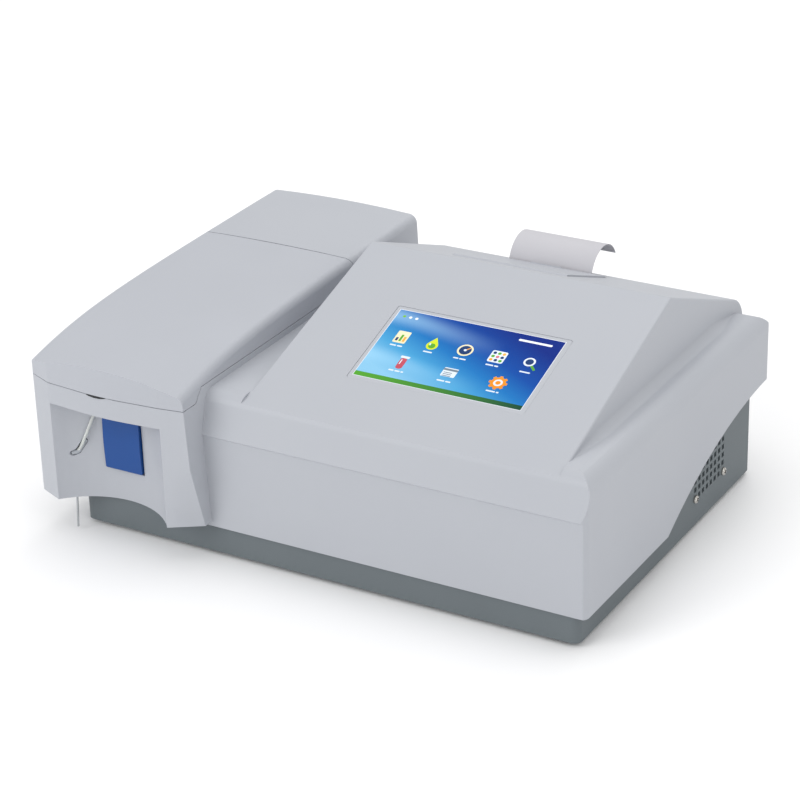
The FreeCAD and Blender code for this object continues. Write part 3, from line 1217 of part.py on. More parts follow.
def tube(name, route, radius, bend):
    """Flexible tube: straight runs joined by tangent arcs, swept with a round section."""
    points = [Vector(*spot) for spot in route]
    edges, here, length = [], points[0], 0
    for i in range(1, len(points) - 1):
        before = (points[i - 1] - points[i]).normalize()
        after = (points[i + 1] - points[i]).normalize()
        half = before.getAngle(after) / 2
        shorter = min((points[i] - points[i - 1]).Length, (points[i + 1] - points[i]).Length)
        turn = min(bend, 0.5 * shorter * math.tan(half))
        reach = turn / math.tan(half)
        middle = points[i] + (before + after).normalize() * (turn / math.sin(half) - turn)
        if here.distanceToPoint(points[i] + before * reach) > 0.001:
            edges.append(Part.makeLine(here, points[i] + before * reach))
        edges.append(Part.Arc(points[i] + before * reach, middle, points[i] + after * reach).toShape())
        here = points[i] + after * reach
    edges.append(Part.makeLine(here, points[-1]))
    path = Part.Wire(edges)
    start = Part.Wire(Part.makeCircle(radius, points[0], points[1] - points[0]))
    swept = path.makePipeShell([start], True, False)
    length = path.Length
    wanted = math.pi * radius ** 2 * length
    print(f"{name}: {length:.1f} mm long, volume ratio {swept.Volume / wanted:.4f}")
    return swept


def tubes():
    """Sample, pump and waste tubing, each along the way that the real one takes."""
    needle_x, needle_y = size("needle_x"), size("needle_y")
    cell_x, cell_y = size("beam_x"), size("cell_y")
    sample = [(needle_x + 3, needle_y, 64.5), (-185.5, needle_y - 0.1, 65.5), (-180, -154.3, 75),
              (-171.6, -151, 96), (-170.9, -142, 107), (-170, -122, 111), (-164, -40, 111), (-160, 10, 116),
              (cell_x - 9, cell_y - 4, 130), (cell_x - 9, cell_y, 122), (cell_x - 9, cell_y, 114)]
    node(solid_of("sipper_tube", tube("sipper_tube", sample, 1.2, 12)), "sipper_tube")
    ring, x, y, z = size("tube_ring"), size("pump_x"), size("pump_y"), size("tube_z")
    pumped = [(cell_x + 9, cell_y, 114), (cell_x + 9, cell_y, 122), (cell_x + 9, cell_y - 5, 130),
              (cell_x + 10, cell_y - 22, 124), (x - ring - 2, -20, 112), (x - ring, -40, z),
              (x - ring, y - ring, z), (x + ring, y - ring, z), (x + ring, -40, z)]
    node(solid_of("pump_tube", tube("pump_tube", pumped, size("tube_r"), ring)), "pump_tube")
    waste = [(x + ring, -40, z), (x + ring, -32, z), (-89, -22, z + 1), (-89, -21, 90), (-84, -6, 62),
             (-84, 40, 44), (-98, 88, 38), (-136, 108, 37), (-140, 122, 37.6),
             (size("waste_x"), size("base_rear") - 14, size("panel_mid_z"))]
    return node(solid_of("waste_tube", tube("waste_tube", waste, size("tube_r"), 14)), "waste_tube")


# Sampling


def needle_way():
    """The needle leans back by four degrees towards its top."""
    return Vector(0, math.sin(math.radians(4)), math.cos(math.radians(4)))


def needle_rod(radius, low, high):
    """A rod on the needle's axis between two heights."""
    tip = Vector(size("needle_x"), size("needle_y"), size("needle_tip"))
    way = needle_way()
    start = tip + way * ((low - tip.z) / way.z)
    return Part.makeCylinder(radius, (high - low) / way.z, start, way)


def sipper_needle():
    """Steel needle, bevelled at its tip."""
    x, y, tip = size("needle_x"), size("needle_y"), size("needle_tip")
    steel = needle_rod(size("needle_r"), tip, size("needle_top"))
    point = Part.makeBox(6, 6, 6, Vector(x - 3, y - 3, tip - 6))
    point.rotate(Vector(x, y, tip), Vector(1, 0, 0), 30)
    return node(solid_of("sipper_needle", steel.cut(point)), "sipper_needle")


def needle_holder():
    """Clamp for the needle on a stem that hangs from the compartment floor."""
    x, y = size("needle_x"), size("needle_y") + 4
    clamp = block((x - 3, y - 3, 56), (x + 3, y + 6, 64))
    stem = block((x - 5, y + 5, 56), (x + 5, -136, size("floor_z") - size("floor_t")))
    form = clamp.fuse(stem).cut(needle_rod(size("needle_r"), 40, size("needle_top") + 1))
    return node(solid_of("needle_holder", form), "needle_holder")


def aspirate_key():
    """Blue key: a crowned paddle with chamfered edges, held behind the wall by its flange."""
    middle, half = size("recess_x"), size("key_w") / 2
    front, low, high = size("key_front"), size("key_low"), size("key_high")
    back = front + size("key_t")
    side = [(front + 1, low, 1.2), (front, (low + high) / 2, 200), (front + 1, high, 3), (back, high),
            (back, low)]
    key = prism("x", side, middle - half, middle + half)
    face = [(middle - half, low, 1.5), (middle + half, low, 1.5), (middle + half, high, 5),
            (middle - half, high, 5)]
    key = key.common(prism("y", face, front - 1, back + 1))
    flange = size("key_flange")
    spread = half + flange
    key = key.fuse(block((middle - spread, back - 3.7, low - flange), (middle + spread, back, high + 0.4)))
    hollow = block((middle - half + 2.5, back - 7, low + 2.5), (middle + half - 2.5, back + 1, high - 6))
    post = cylinder((middle, back - 7, 78), 3, 7, (0, 1, 0))
    return node(solid_of("aspirate_key", key.cut(hollow).fuse(post)), "aspirate_key")


def leaf_spring(apex, foot_y):
    """A bowed strip between the switch bracket and the post on the key's back."""
    half, rise, thick = 4, 15, 0.4
    faces = []
    left = apex.x - half
    for lift in (0, thick):
        spots = [Vector(left, foot_y, apex.z - rise + lift), Vector(left, apex.y + lift, apex.z),
                 Vector(left, foot_y, apex.z + rise - lift)]
        faces.append(spots)
    outer, inner = faces
    edges = [Part.Arc(*outer).toShape(), Part.makeLine(outer[2], inner[2]), Part.Arc(*inner).toShape(),
             Part.makeLine(inner[0], outer[0])]
    return Part.Face(Part.Wire(edges)).extrude(Vector(2 * half, 0, 0))


def key_bracket():
    """Plate behind the key that carries its spring and switch, hung from the floor."""
    middle, y, half = size("recess_x"), size("key_stop_y"), 20
    top = size("floor_z") - size("floor_t")
    plate = block((middle - half, y, 50), (middle + half, y + 2, top))
    tab = block((middle - half, y, top - 2), (middle + half, y + 12, top))
    node(solid_of("key_bracket", plate.fuse([tab])), "key_bracket")
    back = size("key_front") + size("key_t")
    node(solid_of("key_spring", leaf_spring(Vector(middle, back, 78), y)), "key_spring")
    switch = block((middle - 14, y - 4.5, 58), (middle - 4, y, 70))
    switch = switch.fuse(block((middle - 11, y - 6, 63), (middle - 8, y - 4.5, 66)))
    return node(solid_of("key_switch", switch), "key_switch")


def finish():
    doc.recompute()
    for item in doc.Objects:
        if "Invalid" in item.State or "Error" in item.State:
            raise RuntimeError(f"{item.Name} did not recompute: {item.State}")
    os.makedirs("parts", exist_ok=True)
    for name, item in NODES.items():
        shape = item.Shape
        if shape.isNull() or not shape.isValid() or not shape.Solids:
            raise RuntimeError(f"{name} has no valid solid")
        print(f"{name}: {len(shape.Solids)} solid(s), {shape.Volume / 1000:.2f} cm3")
        shape.exportStep(f"parts/{name}.step")


MAKERS = (upper_shell, flow_cell_lid, lid_hinge, base_tray, rear_panel, rear_panel_screws, rubber_feet,
          base_screws, fan_frame, fan_rotor, fan_screws, main_board, power_supply, power_inlet, power_switch,
          serial_port, usb_port, waste_nipple, display, printer_lid, printer_chassis, printer_lid_pins,
          platen_roller, printer_drive, print_head, paper_roll, paper_strip, optical_bench, lamp, condenser,
          filter_wheel, interference_filters, filter_wheel_motor, flow_cell, detector_board,
          compartment_tray, pump, tubes, sipper_needle, needle_holder, aspirate_key, key_bracket)

for make in MAKERS:
    make()
finish()
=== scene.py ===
import math

import bmesh
import bpy
from mathutils import Matrix, Vector


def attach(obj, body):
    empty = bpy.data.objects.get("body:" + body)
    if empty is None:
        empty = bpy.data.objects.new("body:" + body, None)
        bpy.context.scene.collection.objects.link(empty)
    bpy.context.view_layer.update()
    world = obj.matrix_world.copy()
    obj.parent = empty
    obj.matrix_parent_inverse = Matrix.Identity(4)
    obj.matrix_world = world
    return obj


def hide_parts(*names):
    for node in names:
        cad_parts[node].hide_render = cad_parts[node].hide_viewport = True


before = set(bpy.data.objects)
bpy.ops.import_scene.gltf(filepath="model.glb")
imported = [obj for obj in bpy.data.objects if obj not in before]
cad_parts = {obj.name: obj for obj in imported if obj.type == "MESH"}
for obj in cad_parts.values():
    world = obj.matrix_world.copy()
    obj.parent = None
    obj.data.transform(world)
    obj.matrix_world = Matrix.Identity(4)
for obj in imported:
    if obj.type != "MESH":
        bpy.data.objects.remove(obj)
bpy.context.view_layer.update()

bpy.ops.object.select_all(action="DESELECT")

# Sizes and places are in millimetres, which MM turns to Blender's metres

MM = 0.001
FAR = math.inf
ANY = (-FAR, FAR)

# Parts of the CAD nodes whose edges are treated apart, as ranges in x, y and z

LID_SEAM = ((-FAR, -76), (-FAR, 75), (121, 165))
SCREEN_WINDOW = ((4.5, 146.5), (-93.5, -11.5), (100, FAR))
LID_RIM = (ANY, ANY, (-FAR, 133.6))
LID_REAR = (ANY, (45, FAR), ANY)
SCOOP = ((-169.5, -138.5), (-FAR, -165), (118, 123.5))
GRILLE = ((209.5, FAR), (40, 107), (15, 82))
RIGHT_WALL = ((209.9, FAR), ANY, ANY)

# Edges of the mouldings: the narrow bevel at a gap, and the angle under which faces count as flat

FINE_BEVEL = 0.12
MERGE_DISTANCE = 0.01
FLAT_TURN = 0.5

# The console's two feet, where its flanks run down into the deck, and the tapered fillet in them

FLANKS = (-53.4, 195.4)
FOOT_FRONT, FOOT_REAR = -117.8, 148.5
FOOT_HEIGHTS = (120, 135)
FEET = [((x - 0.5, x + 0.5), (FOOT_FRONT - 0.1, FOOT_REAR + 0.1), FOOT_HEIGHTS) for x in FLANKS]
FOOT_EDGE_LENGTH = 100
FILLET_WIDTH = 6.5
FILLET_CUTS, FILLET_SEGMENTS = 24, 6
FRONT_TAPER, REAR_TAPER = 45, 30
LEAST_SHARE = 0.03

# The console's front rises this much for each millimetre back, and the screen lies on it

CONSOLE_RISE = 0.3202
SLOPE = math.atan(CONSOLE_RISE)
SCREEN_MIDDLE = (75.5, -52.5, 150.5)


def turned(spot, axis_x, axis_y):
    """Placement matrix of a flat piece from its middle in millimetres and its two directions."""
    right, up = Vector(axis_x).normalized(), Vector(axis_y).normalized()
    grid = Matrix((right, up, right.cross(up))).transposed().to_4x4()
    grid.translation = Vector(spot) * MM
    return grid


PANEL = turned(SCREEN_MIDDLE, (1, 0, 0), (0, math.cos(SLOPE), math.sin(SLOPE)))


# Selecting and finishing


def choose(piece):
    """Makes one piece the only one selected, and the active one."""
    bpy.ops.object.select_all(action="DESELECT")
    piece.select_set(True)
    bpy.context.view_layer.objects.active = piece


def open_faces(piece, test):
    """Opens a piece in edit mode with the faces selected that pass a test."""
    choose(piece)
    bpy.ops.object.mode_set(mode="EDIT")
    bpy.ops.mesh.select_mode(type="FACE")
    mesh = bmesh.from_edit_mesh(piece.data)
    for face in mesh.faces:
        face.select_set(bool(test(face)))
    bmesh.update_edit_mesh(piece.data)


def open_edges(piece, test):
    """Opens a piece in edit mode with the edges selected that pass a test."""
    choose(piece)
    bpy.ops.object.mode_set(mode="EDIT")
    bpy.ops.mesh.select_mode(type="EDGE")
    mesh = bmesh.from_edit_mesh(piece.data)
    for edge in mesh.edges:
        edge.select_set(bool(test(edge)))
    bmesh.update_edit_mesh(piece.data)


def close(piece):
    """Leaves edit mode."""
    bpy.ops.object.mode_set(mode="OBJECT")
    return piece


def apply_new(piece, kind, **settings):
    """Adds a modifier with its settings and applies it."""
    choose(piece)
    bpy.ops.object.modifier_add(type=kind)
    modifier = piece.modifiers[-1]
    for key, value in settings.items():
        setattr(modifier, key, value)
    bpy.ops.object.modifier_apply(modifier=modifier.name)


def settle(piece):
    """Applies a piece's place, turn and scale to its mesh."""
    choose(piece)
    bpy.ops.object.transform_apply(location=True, rotation=True, scale=True)
    return piece


def seat(piece, spot):
    """Moves a piece made at the origin to its place, with its object left at the origin."""
    piece.matrix_world = spot @ piece.matrix_world
    return settle(piece)


def block(*sides):
    """A cuboid round the origin."""
    bpy.ops.mesh.primitive_cube_add(size=1)
    made = bpy.context.object
    made.scale = [side * MM for side in sides]
    return settle(made)


def smooth(piece, angle=35):
    """Smooth shading that keeps large flat faces flat and leaves corners over the angle sharp."""
    choose(piece)
    bpy.ops.object.shade_smooth_by_angle(angle=math.radians(angle))
    apply_new(piece, "WEIGHTED_NORMAL", keep_sharp=True, weight=90)


def join(name, pieces):
    """Joins pieces into the first one and names it."""
    choose(pieces[0])
    for piece in pieces:
        piece.select_set(True)
    bpy.ops.object.join()
    pieces[0].name = name
    return pieces[0]


def copy_of(piece, spot):
    """A copy with a mesh of its own, put at a place."""
    twin = piece.copy()
    twin.data = piece.data.copy()
    bpy.context.scene.collection.objects.link(twin)
    return seat(twin, spot)


def hand_over(piece, body, material, *nodes, slot=None):
    """Gives a piece its body and its material, and hides the CAD nodes that it stands for."""
    if material:
        piece.data.materials.clear()
        piece.data.materials.append(material)
    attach(piece, body)
    if nodes:
        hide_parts(*nodes)
    return piece


# Softening the mouldings


def nowhere(spot):
    """The test that no place passes."""
    return False


def inside(*boxes):
    """A test for places that lie in any of some boxes, each given by its ranges in x, y and z."""
    def test(spot):
        return any(all(low * MM < c < high * MM for c, (low, high) in zip(spot, box)) for box in boxes)
    return test


def fill_valley(piece, valley):
    """Fills a valley of the mould with a wide fillet that runs out to almost nothing at its ends."""
    open_edges(piece, lambda edge: edge.calc_length() > FOOT_EDGE_LENGTH * MM
               and all(valley(v.co) for v in edge.verts))
    bpy.ops.mesh.subdivide(number_cuts=FILLET_CUTS)
    close(piece)
    mesh = piece.data
    weights = mesh.attributes.new("bevel_weight_edge", "FLOAT", "EDGE")
    for edge in mesh.edges:
        ends = [mesh.vertices[corner].co for corner in edge.vertices]
        if all(map(valley, ends)):
            from_front = min(v.y for v in ends) - FOOT_FRONT * MM
            from_rear = FOOT_REAR * MM - max(v.y for v in ends)
            share = min(1, from_front / (FRONT_TAPER * MM), from_rear / (REAR_TAPER * MM))
            weights.data[edge.index].value = max(LEAST_SHARE, share)
    apply_new(piece, "BEVEL", limit_method="WEIGHT", width=FILLET_WIDTH * MM, segments=FILLET_SEGMENTS,
              use_clamp_overlap=False)


def soften(node, name, bevel, segments=2, sharp=28, fine=nowhere, keep=nowhere, bare=nowhere,
           valley=nowhere):
    """A merged copy of a CAD node, its edges rounded as a mould leaves them: less where fine says so.

    Flat faces stay split where keep says so, edges stay as cut where bare says so, and a wide fillet
    fills the valley.
    """
    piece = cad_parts[node].copy()
    piece.data = piece.data.copy()
    piece.parent, piece.name = None, name
    for key in list(piece.keys()):
        del piece[key]
    bpy.context.scene.collection.objects.link(piece)
    choose(piece)
    bpy.ops.mesh.customdata_custom_splitnormals_clear()
    bpy.ops.object.mode_set(mode="EDIT")
    bpy.ops.mesh.select_all(action="SELECT")
    bpy.ops.mesh.remove_doubles(threshold=MERGE_DISTANCE * MM)
    close(piece)
    open_faces(piece, lambda face: not all(keep(v.co) for v in face.verts))
    bpy.ops.mesh.dissolve_limited(angle_limit=math.radians(FLAT_TURN))
    close(piece)

    def corner(edge, wanted):
        turn = edge.calc_face_angle(0.0)
        spots = [v.co for v in edge.verts]
        spared = all(map(bare, spots)) or all(map(valley, spots))
        return turn > math.radians(sharp) and not spared and all(map(fine, spots)) == wanted

    for width, wanted in ((FINE_BEVEL, True), (bevel, False)):
        if bevel and (fine is not nowhere or not wanted):
            open_edges(piece, lambda edge: corner(edge, wanted))
            bpy.ops.mesh.bevel(offset=width * MM, segments=segments, clamp_overlap=True, miter_outer="ARC")
            close(piece)
    if valley is not nowhere:
        fill_valley(piece, valley)
    smooth(piece)
    return piece


# Materials

# The mix node's two colour inputs and its colour output have no names of their own
MIX_A, MIX_B, MIX_COLOUR = 6, 7, 2
# Lines in a metre across the rolling or brushing, and changes in a metre along it
LINES_ACROSS, LINES_ALONG = 1800.0, 40.0
# Heights of the grain and of the lines, and how far each moves the roughness either way
GRAIN_HEIGHT, LINE_HEIGHT = 0.2, 0.05
GRAIN_GLOSS, LINE_GLOSS = 0.05, 0.07


def linear(hexcode):
    """Turns an sRGB hex colour to the linear one that shaders take."""
    parts = [int(hexcode[i:i + 2], 16) / 255 for i in (0, 2, 4)]
    return [c / 12.92 if c <= 0.04045 else ((c + 0.055) / 1.055) ** 2.4 for c in parts] + [1.0]


def new_material(name, **settings):
    """A material with one Principled shader, its whole-surface values set on the shader's own sockets."""
    material = bpy.data.materials.new(name)
    material.use_nodes = True
    shader = material.node_tree.nodes["Principled BSDF"]
    for key, value in settings.items():
        shader.inputs[key.replace("_", " ")].default_value = value
    return material, shader


def add(material, kind, settings, links):
    """Adds a node with its settings and what its inputs are linked from."""
    made = material.node_tree.nodes.new(kind)
    for key, value in settings.items():
        if isinstance(key, str) and key.islower():
            setattr(made, key, value)
        else:
            made.inputs[key].default_value = value
    for key, source in links.items():
        material.node_tree.links.new(source, made.inputs[key])
    return made


def surface(material, shader, tint, tones, relief, gloss_range, depth, height):
    """Colour between two tones by one pattern, and gloss and bump by another."""
    tone = add(material, "ShaderNodeMix",
               {"data_type": "RGBA", MIX_A: linear(tones[0]), MIX_B: linear(tones[1])}, {"Factor": tint})
    gloss = add(material, "ShaderNodeMapRange", {"To Min": gloss_range[0], "To Max": gloss_range[1]},
                {"Value": relief})
    bump = add(material, "ShaderNodeBump", {"Strength": depth, "Distance": height * MM}, {"Height": relief})
    links = material.node_tree.links
    links.new(tone.outputs[MIX_COLOUR], shader.inputs["Base Color"])
    links.new(gloss.outputs["Result"], shader.inputs["Roughness"])
    links.new(bump.outputs["Normal"], shader.inputs["Normal"])
    return material


def grained(name, light, dark, grain, patch, rough, depth, **settings):
    """Moulded or cast surface: fine grain in the bump and the gloss, slow patches in the colour.

    The sizes of a grain and of a patch are in millimetres, and the depth is the bump's strength.
    """
    material, shader = new_material(name, **settings)
    place = add(material, "ShaderNodeTexCoord", {}, {}).outputs["Object"]
    fine = add(material, "ShaderNodeTexNoise", {"Scale": 1000 / grain, "Detail": 4.0, "Roughness": 0.6},
               {"Vector": place})
    slow = add(material, "ShaderNodeTexNoise", {"Scale": 1000 / patch, "Detail": 2.0}, {"Vector": place})
    return surface(material, shader, slow.outputs["Fac"], (light, dark), fine.outputs["Fac"],
                   (rough - GRAIN_GLOSS, rough + GRAIN_GLOSS), depth, GRAIN_HEIGHT)


def drawn(name, light, dark, along, rough, depth, **settings):
    """Metal with lines from rolling, turning or brushing along one axis."""
    material, shader = new_material(name, Metallic=1.0, **settings)
    place = add(material, "ShaderNodeTexCoord", {}, {}).outputs["Object"]
    scale = [LINES_ALONG if axis == along else LINES_ACROSS for axis in "xyz"]
    lines = add(material, "ShaderNodeMapping", {"Scale": scale}, {"Vector": place})
    noise = add(material, "ShaderNodeTexNoise", {"Scale": 1.0, "Detail": 3.0},
                {"Vector": lines.outputs["Vector"]}).outputs["Fac"]
    return surface(material, shader, noise, (light, dark), noise,
                   (rough - LINE_GLOSS, rough + LINE_GLOSS), depth, LINE_HEIGHT)


# ABS from a spark-eroded mould is a soft, satin cool grey. Its texture is about 0.4 mm, drawn at
# 1.1 mm so that it still shows.
HOUSING = grained("moulded_abs_cool_grey", "B0B3B9", "ACAFB6", 1.1, 90, 0.5, 0.10, IOR=1.5)
# ABS from another mould makes the lids a shade off the housing.
LID = grained("moulded_abs_lid_grey", "AFB2B9", "ABAEB5", 1.1, 70, 0.5, 0.10, IOR=1.5)
# ABS with a coarser texture that hides scuffs gives the base a matt slate grey.
BASE = grained("moulded_abs_slate", "666E72", "5F676B", 1.4, 60, 0.55, 0.22, IOR=1.5)
# ABS from a polished mould makes the key glossier and deeper in colour.
KEY = grained("moulded_abs_blue", "174A90", "144486", 1.6, 25, 0.4, 0.06, IOR=1.5, Specular_IOR_Level=0.3)
# Filled nylon of connectors, fan and switch is a soft black with a low shine.
DARK_PLASTIC = grained("moulded_nylon_black", "23262A", "1C1F22", 0.9, 20, 0.48, 0.2, IOR=1.5)
# Acetal of trays, rollers and gears is a waxy light grey.
GREY_PLASTIC = grained("moulded_acetal_grey", "A9AEB4", "9FA4AB", 0.9, 25, 0.42, 0.15, IOR=1.48)
# Rubber of the feet is a dull near-black without highlights; the same dark colour paints the shade in the
# lid's fingertip scoop.
RUBBER_AND_PAINTED_SHADE = grained("rubber_black_and_painted_shade", "2A2C2E", "222425", 0.7, 15, 0.82, 0.4, IOR=1.5)
# Solder mask on the boards is a deep green under a clear, glossy coat.
BOARD = grained("solder_mask_green", "1E6B3F", "185A35", 2.4, 8, 0.35, 0.3, IOR=1.5, Coat_Weight=0.4)
# Thermal paper is a matt white with a faint cool cast.
PAPER = grained("thermal_paper_white", "C0BFC4", "BBBABF", 0.5, 30, 0.62, 0.08, IOR=1.45)
# Rolled sheet is a dull silver with fine lines along x.
STEEL = drawn("rolled_steel", "B9BCC0", "9EA2A7", "x", 0.34, 0.2)
# Ground tube is brighter than sheet, with its lines upright.
NEEDLE_STEEL = drawn("ground_needle_steel", "C3C5C8", "A4A7AB", "z", 0.24, 0.1)
# Nickel plate on screws and the connector shell is bright and a little warm.
NICKEL = drawn("nickel_plated_steel", "D2CFC9", "B4B1AC", "x", 0.22, 0.1)
# Milled aluminium of the optical blocks is a pale silver with cutter lines along y.
ALUMINIUM = drawn("milled_aluminium", "C9CBCD", "B0B3B6", "y", 0.36, 0.25)
# Turned brass of the nipple, the pinion and the serial pins is a warm yellow metal.
BRASS = drawn("turned_brass", "C9A55A", "A98942", "y", 0.3, 0.15)
# Polished glass is clear, with small sharp highlights.
OPTIC = grained("polished_optical_glass", "F2F6F7", "E6EDEF", 6.0, 30, 0.06, 0.0, IOR=1.46,
                Transmission_Weight=0.85)
# Silicone tubing is milky, half clear and softly glossy.
TUBING = grained("silicone_tubing", "EFF1EE", "E2E6E2", 1.2, 12, 0.3, 0.1, IOR=1.41,
                 Transmission_Weight=0.35)
# Powder coat on the rear panel is the base's slate with a rougher, pebbled skin.
PAINTED = grained("powder_coated_steel_slate", "666E72", "5F676C", 1.2, 50, 0.5, 0.35, IOR=1.5)


def wear_slot(node, material):
    """Gives a CAD node that stays as it is its finish."""
    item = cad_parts[node]
    if not item.material_slots:
        item.data.materials.append(material)
    for place in item.material_slots:
        place.material = material


FINISHES = {
    DARK_PLASTIC: ("power_inlet", "switch_body", "power_rocker", "fan_frame", "fan_rotor", "key_switch",
                   "printer_motor", "platen_roller", "print_head", "usb_port", "lamp_housing"),
    GREY_PLASTIC: ("printer_chassis", "pump_housing", "pump_rotor", "compartment_tray", "pump_roller_1",
                   "pump_roller_2", "pump_roller_3", "platen_gear", "needle_holder"),
    STEEL: ("display_bracket", "lcd_module", "key_bracket", "key_spring", "lid_hinge_pins",
            "printer_lid_pins", "lid_hinge_posts", "pump_motor", "filter_wheel_motor", "power_supply"),
    ALUMINIUM: ("optical_bench", "lens_holder", "flow_cell_block", "filter_wheel"),
    NICKEL: ("serial_port",),
    BRASS: ("waste_nipple", "motor_pinion"),
    BOARD: ("main_board", "detector_board"),
    OPTIC: ("condenser_lens", "flow_cell", "halogen_lamp", "interference_filters"),
    RUBBER_AND_PAINTED_SHADE: ("rubber_feet",),
    PAPER: ("paper_roll",),
    PAINTED: ("rear_panel",),
    NEEDLE_STEEL: ("sipper_needle",),
}
for finish, members in FINISHES.items():
    for member in members:
        wear_slot(member, finish)


# Housing, base, lids and key

hand_over(soften("upper_shell", "housing", 1.1, 2, fine=inside(LID_SEAM, SCREEN_WINDOW),
                 bare=inside(SCOOP), valley=inside(*FEET)),
          "chassis", HOUSING, "upper_shell", slot="shell")
hand_over(soften("base_tray", "base", 0.5, 1, 40, keep=inside(RIGHT_WALL), bare=inside(GRILLE)),
          "chassis", BASE, "base_tray", slot="base")
hand_over(soften("flow_cell_lid", "cell_lid", 0.6, 2, fine=inside(LID_RIM, LID_REAR)),
          "flow_cell_lid", LID, "flow_cell_lid", slot="shell")
hand_over(soften("printer_lid", "paper_lid", 0.5, 2), "printer_lid", LID, "printer_lid", slot="shell")
hand_over(soften("aspirate_key", "blue_key", 0.9, 3), "aspirate_key", KEY, "aspirate_key", slot="key_blue")
hand_over(soften("paper_strip", "printed_strip", 0), "chassis", PAPER, "paper_strip", slot="paper")


# Screws: radius and height of the head, radius and length of the shank, and the holes

FAN_SCREW, PANEL_SCREW, CASE_SCREW = (3.1, 2.3, 1.6, 7), (2.8, 1.8, 1.4, 6), (3.2, 1.6, 1.6, 9)
FAN_HOLES = [(212, y, z) for y in (48.5, 98.5) for z in (25, 75)]
PANEL_HOLES = [(x, 153, z) for x in (-173, 10, 193) for z in (14.5, 63.5)]
CASE_HOLES = [(x, y, 2) for x in (-174, 193) for y in (-129.5, 139.5)]
CASE_HOLES += [(203, -118, 3.5), (203, 124, 3.5), (-66, -122, 3.5), (-66, 138, 3.5)]
# The crown's rounding as a share of the head's height, and the shank's chamfer as one of its radius
CROWN_SHARE, CHAMFER_SHARE = 0.62, 0.4
# Length, width and depth of a recess arm, as shares of the head's radius, its radius and its height
ARM_LENGTH, ARM_WIDTH, ARM_DEPTH = 1.25, 0.3, 1.1
# Each screw stops at a turn of its own, in radians
FIRST_TURN, NEXT_TURN = 0.4, 0.68


def pan_screw(head_r, head_h, shank_r, length):
    """Pan-head screw pointing down at the origin, its cross recess cut by two crossed bars."""
    bpy.ops.mesh.primitive_cylinder_add(vertices=32, radius=head_r * MM, depth=head_h * MM,
                                        location=(0, 0, head_h * MM / 2))
    head = bpy.context.object
    open_edges(head, lambda e: all(v.co.z > 0 for v in e.verts))
    bpy.ops.mesh.bevel(offset=head_h * MM * CROWN_SHARE, segments=4, profile=0.5)
    close(head)
    for turn in (0, math.pi / 2):
        bpy.ops.mesh.primitive_cube_add(size=1, location=(0, 0, head_h * MM), rotation=(0, 0, turn))
        arm = bpy.context.object
        arm.scale = (head_r * ARM_LENGTH * MM, head_r * ARM_WIDTH * MM, head_h * ARM_DEPTH * MM)
        settle(arm)
        apply_new(head, "BOOLEAN", object=arm, operation="DIFFERENCE", solver="EXACT")
        bpy.data.objects.remove(arm)
    bpy.ops.mesh.primitive_cylinder_add(vertices=20, radius=shank_r * MM, depth=length * MM,
                                        location=(0, 0, -length * MM / 2))
    shank = bpy.context.object
    open_edges(shank, lambda e: all(v.co.z < -length * MM / 2 for v in e.verts))
    bpy.ops.mesh.bevel(offset=shank_r * MM * CHAMFER_SHARE, segments=1)
    close(shank)
    screw = join("screw", [head, shank])
    smooth(screw)
    return screw


def screw_set(name, node, spots, way, sizes):
    """One screw modelled once and copied to each hole, each with its recess turned its own way."""
    first = pan_screw(*sizes)
    copies = []
    for i, spot in enumerate(spots):
        facing = Vector(way).to_track_quat("Z", "Y").to_matrix().to_4x4()
        turn = Matrix.Rotation(FIRST_TURN + NEXT_TURN * i, 4, "Z")
        copies.append(copy_of(first, Matrix.Translation(Vector(spot) * MM) @ facing @ turn))
    bpy.data.objects.remove(first)
    piece = join(name, copies)
    return hand_over(piece, "chassis", NICKEL, node, slot="nickel")


screw_set("fan_guard_screws", "fan_screws", FAN_HOLES, (1, 0, 0), FAN_SCREW)
screw_set("panel_screws", "rear_panel_screws", PANEL_HOLES, (0, 1, 0), PANEL_SCREW)
screw_set("case_screws", "base_screws", CASE_HOLES, (0, 0, -1), CASE_SCREW)


# Small pieces: painted shade in the lid's scoop, slot lining, connector pins and rocker marks

# The dark strip in the lid's scoop is painted shade: its size, middle and rounding in millimetres
SHADE_STRIP_SIZE, SHADE_STRIP_MIDDLE, SHADE_STRIP_ROUND = (20.5, 0.9, 4.2), (-152.3, -168.95, 120.7), 0.15
LINING_RADIUS = 1.95
LINING_ROUTE = [(-190.1, -155.9, 64.4), (-188.3, -154.9, 64.7), (-186.4, -153.6, 65.1),
                (-184.6, -152.3, 66.9), (-182.2, -150.8, 71.2), (-180.2, -149.6, 74.8)]
PIN_RADIUS, PIN_START, PIN_REACH = 0.5, 154.6, 3.9
PIN_ROUND = 0.6
PIN_PITCH, PINS_X, UPPER_PINS_Z, LOWER_PINS_Z = 2.76, 40, 39.4, 36.6
ROCKER_AXIS, ROCKER_TURN = Vector((118, 151.5, 38)) * MM, -9
RING_SPOT, BAR_SPOT = (114, 153.52, 38), (122, 153.52, 38)
# Each face of the rocker leans in y by the second over a run along x of the first
FACE_RUN, FACE_LEAN = -8, 1.4
RING_RADIUS, RING_THICK = 1.6, 0.22
BAR_SIZE, BAR_ROUND = (0.45, 3.4, 0.3), 0.1


def pin(x, z):
    """Contact pin along Y with a rounded tip."""
    bpy.ops.mesh.primitive_cylinder_add(vertices=14, radius=PIN_RADIUS * MM, depth=PIN_REACH * MM,
                                        location=(x * MM, (PIN_START + PIN_REACH / 2) * MM, z * MM),
                                        rotation=(-math.pi / 2, 0, 0))
    made = settle(bpy.context.object)
    tip = (PIN_START + PIN_REACH - 0.01) * MM
    open_edges(made, lambda e: all(v.co.y > tip for v in e.verts))
    bpy.ops.mesh.bevel(offset=PIN_RADIUS * PIN_ROUND * MM, segments=2)
    return close(made)


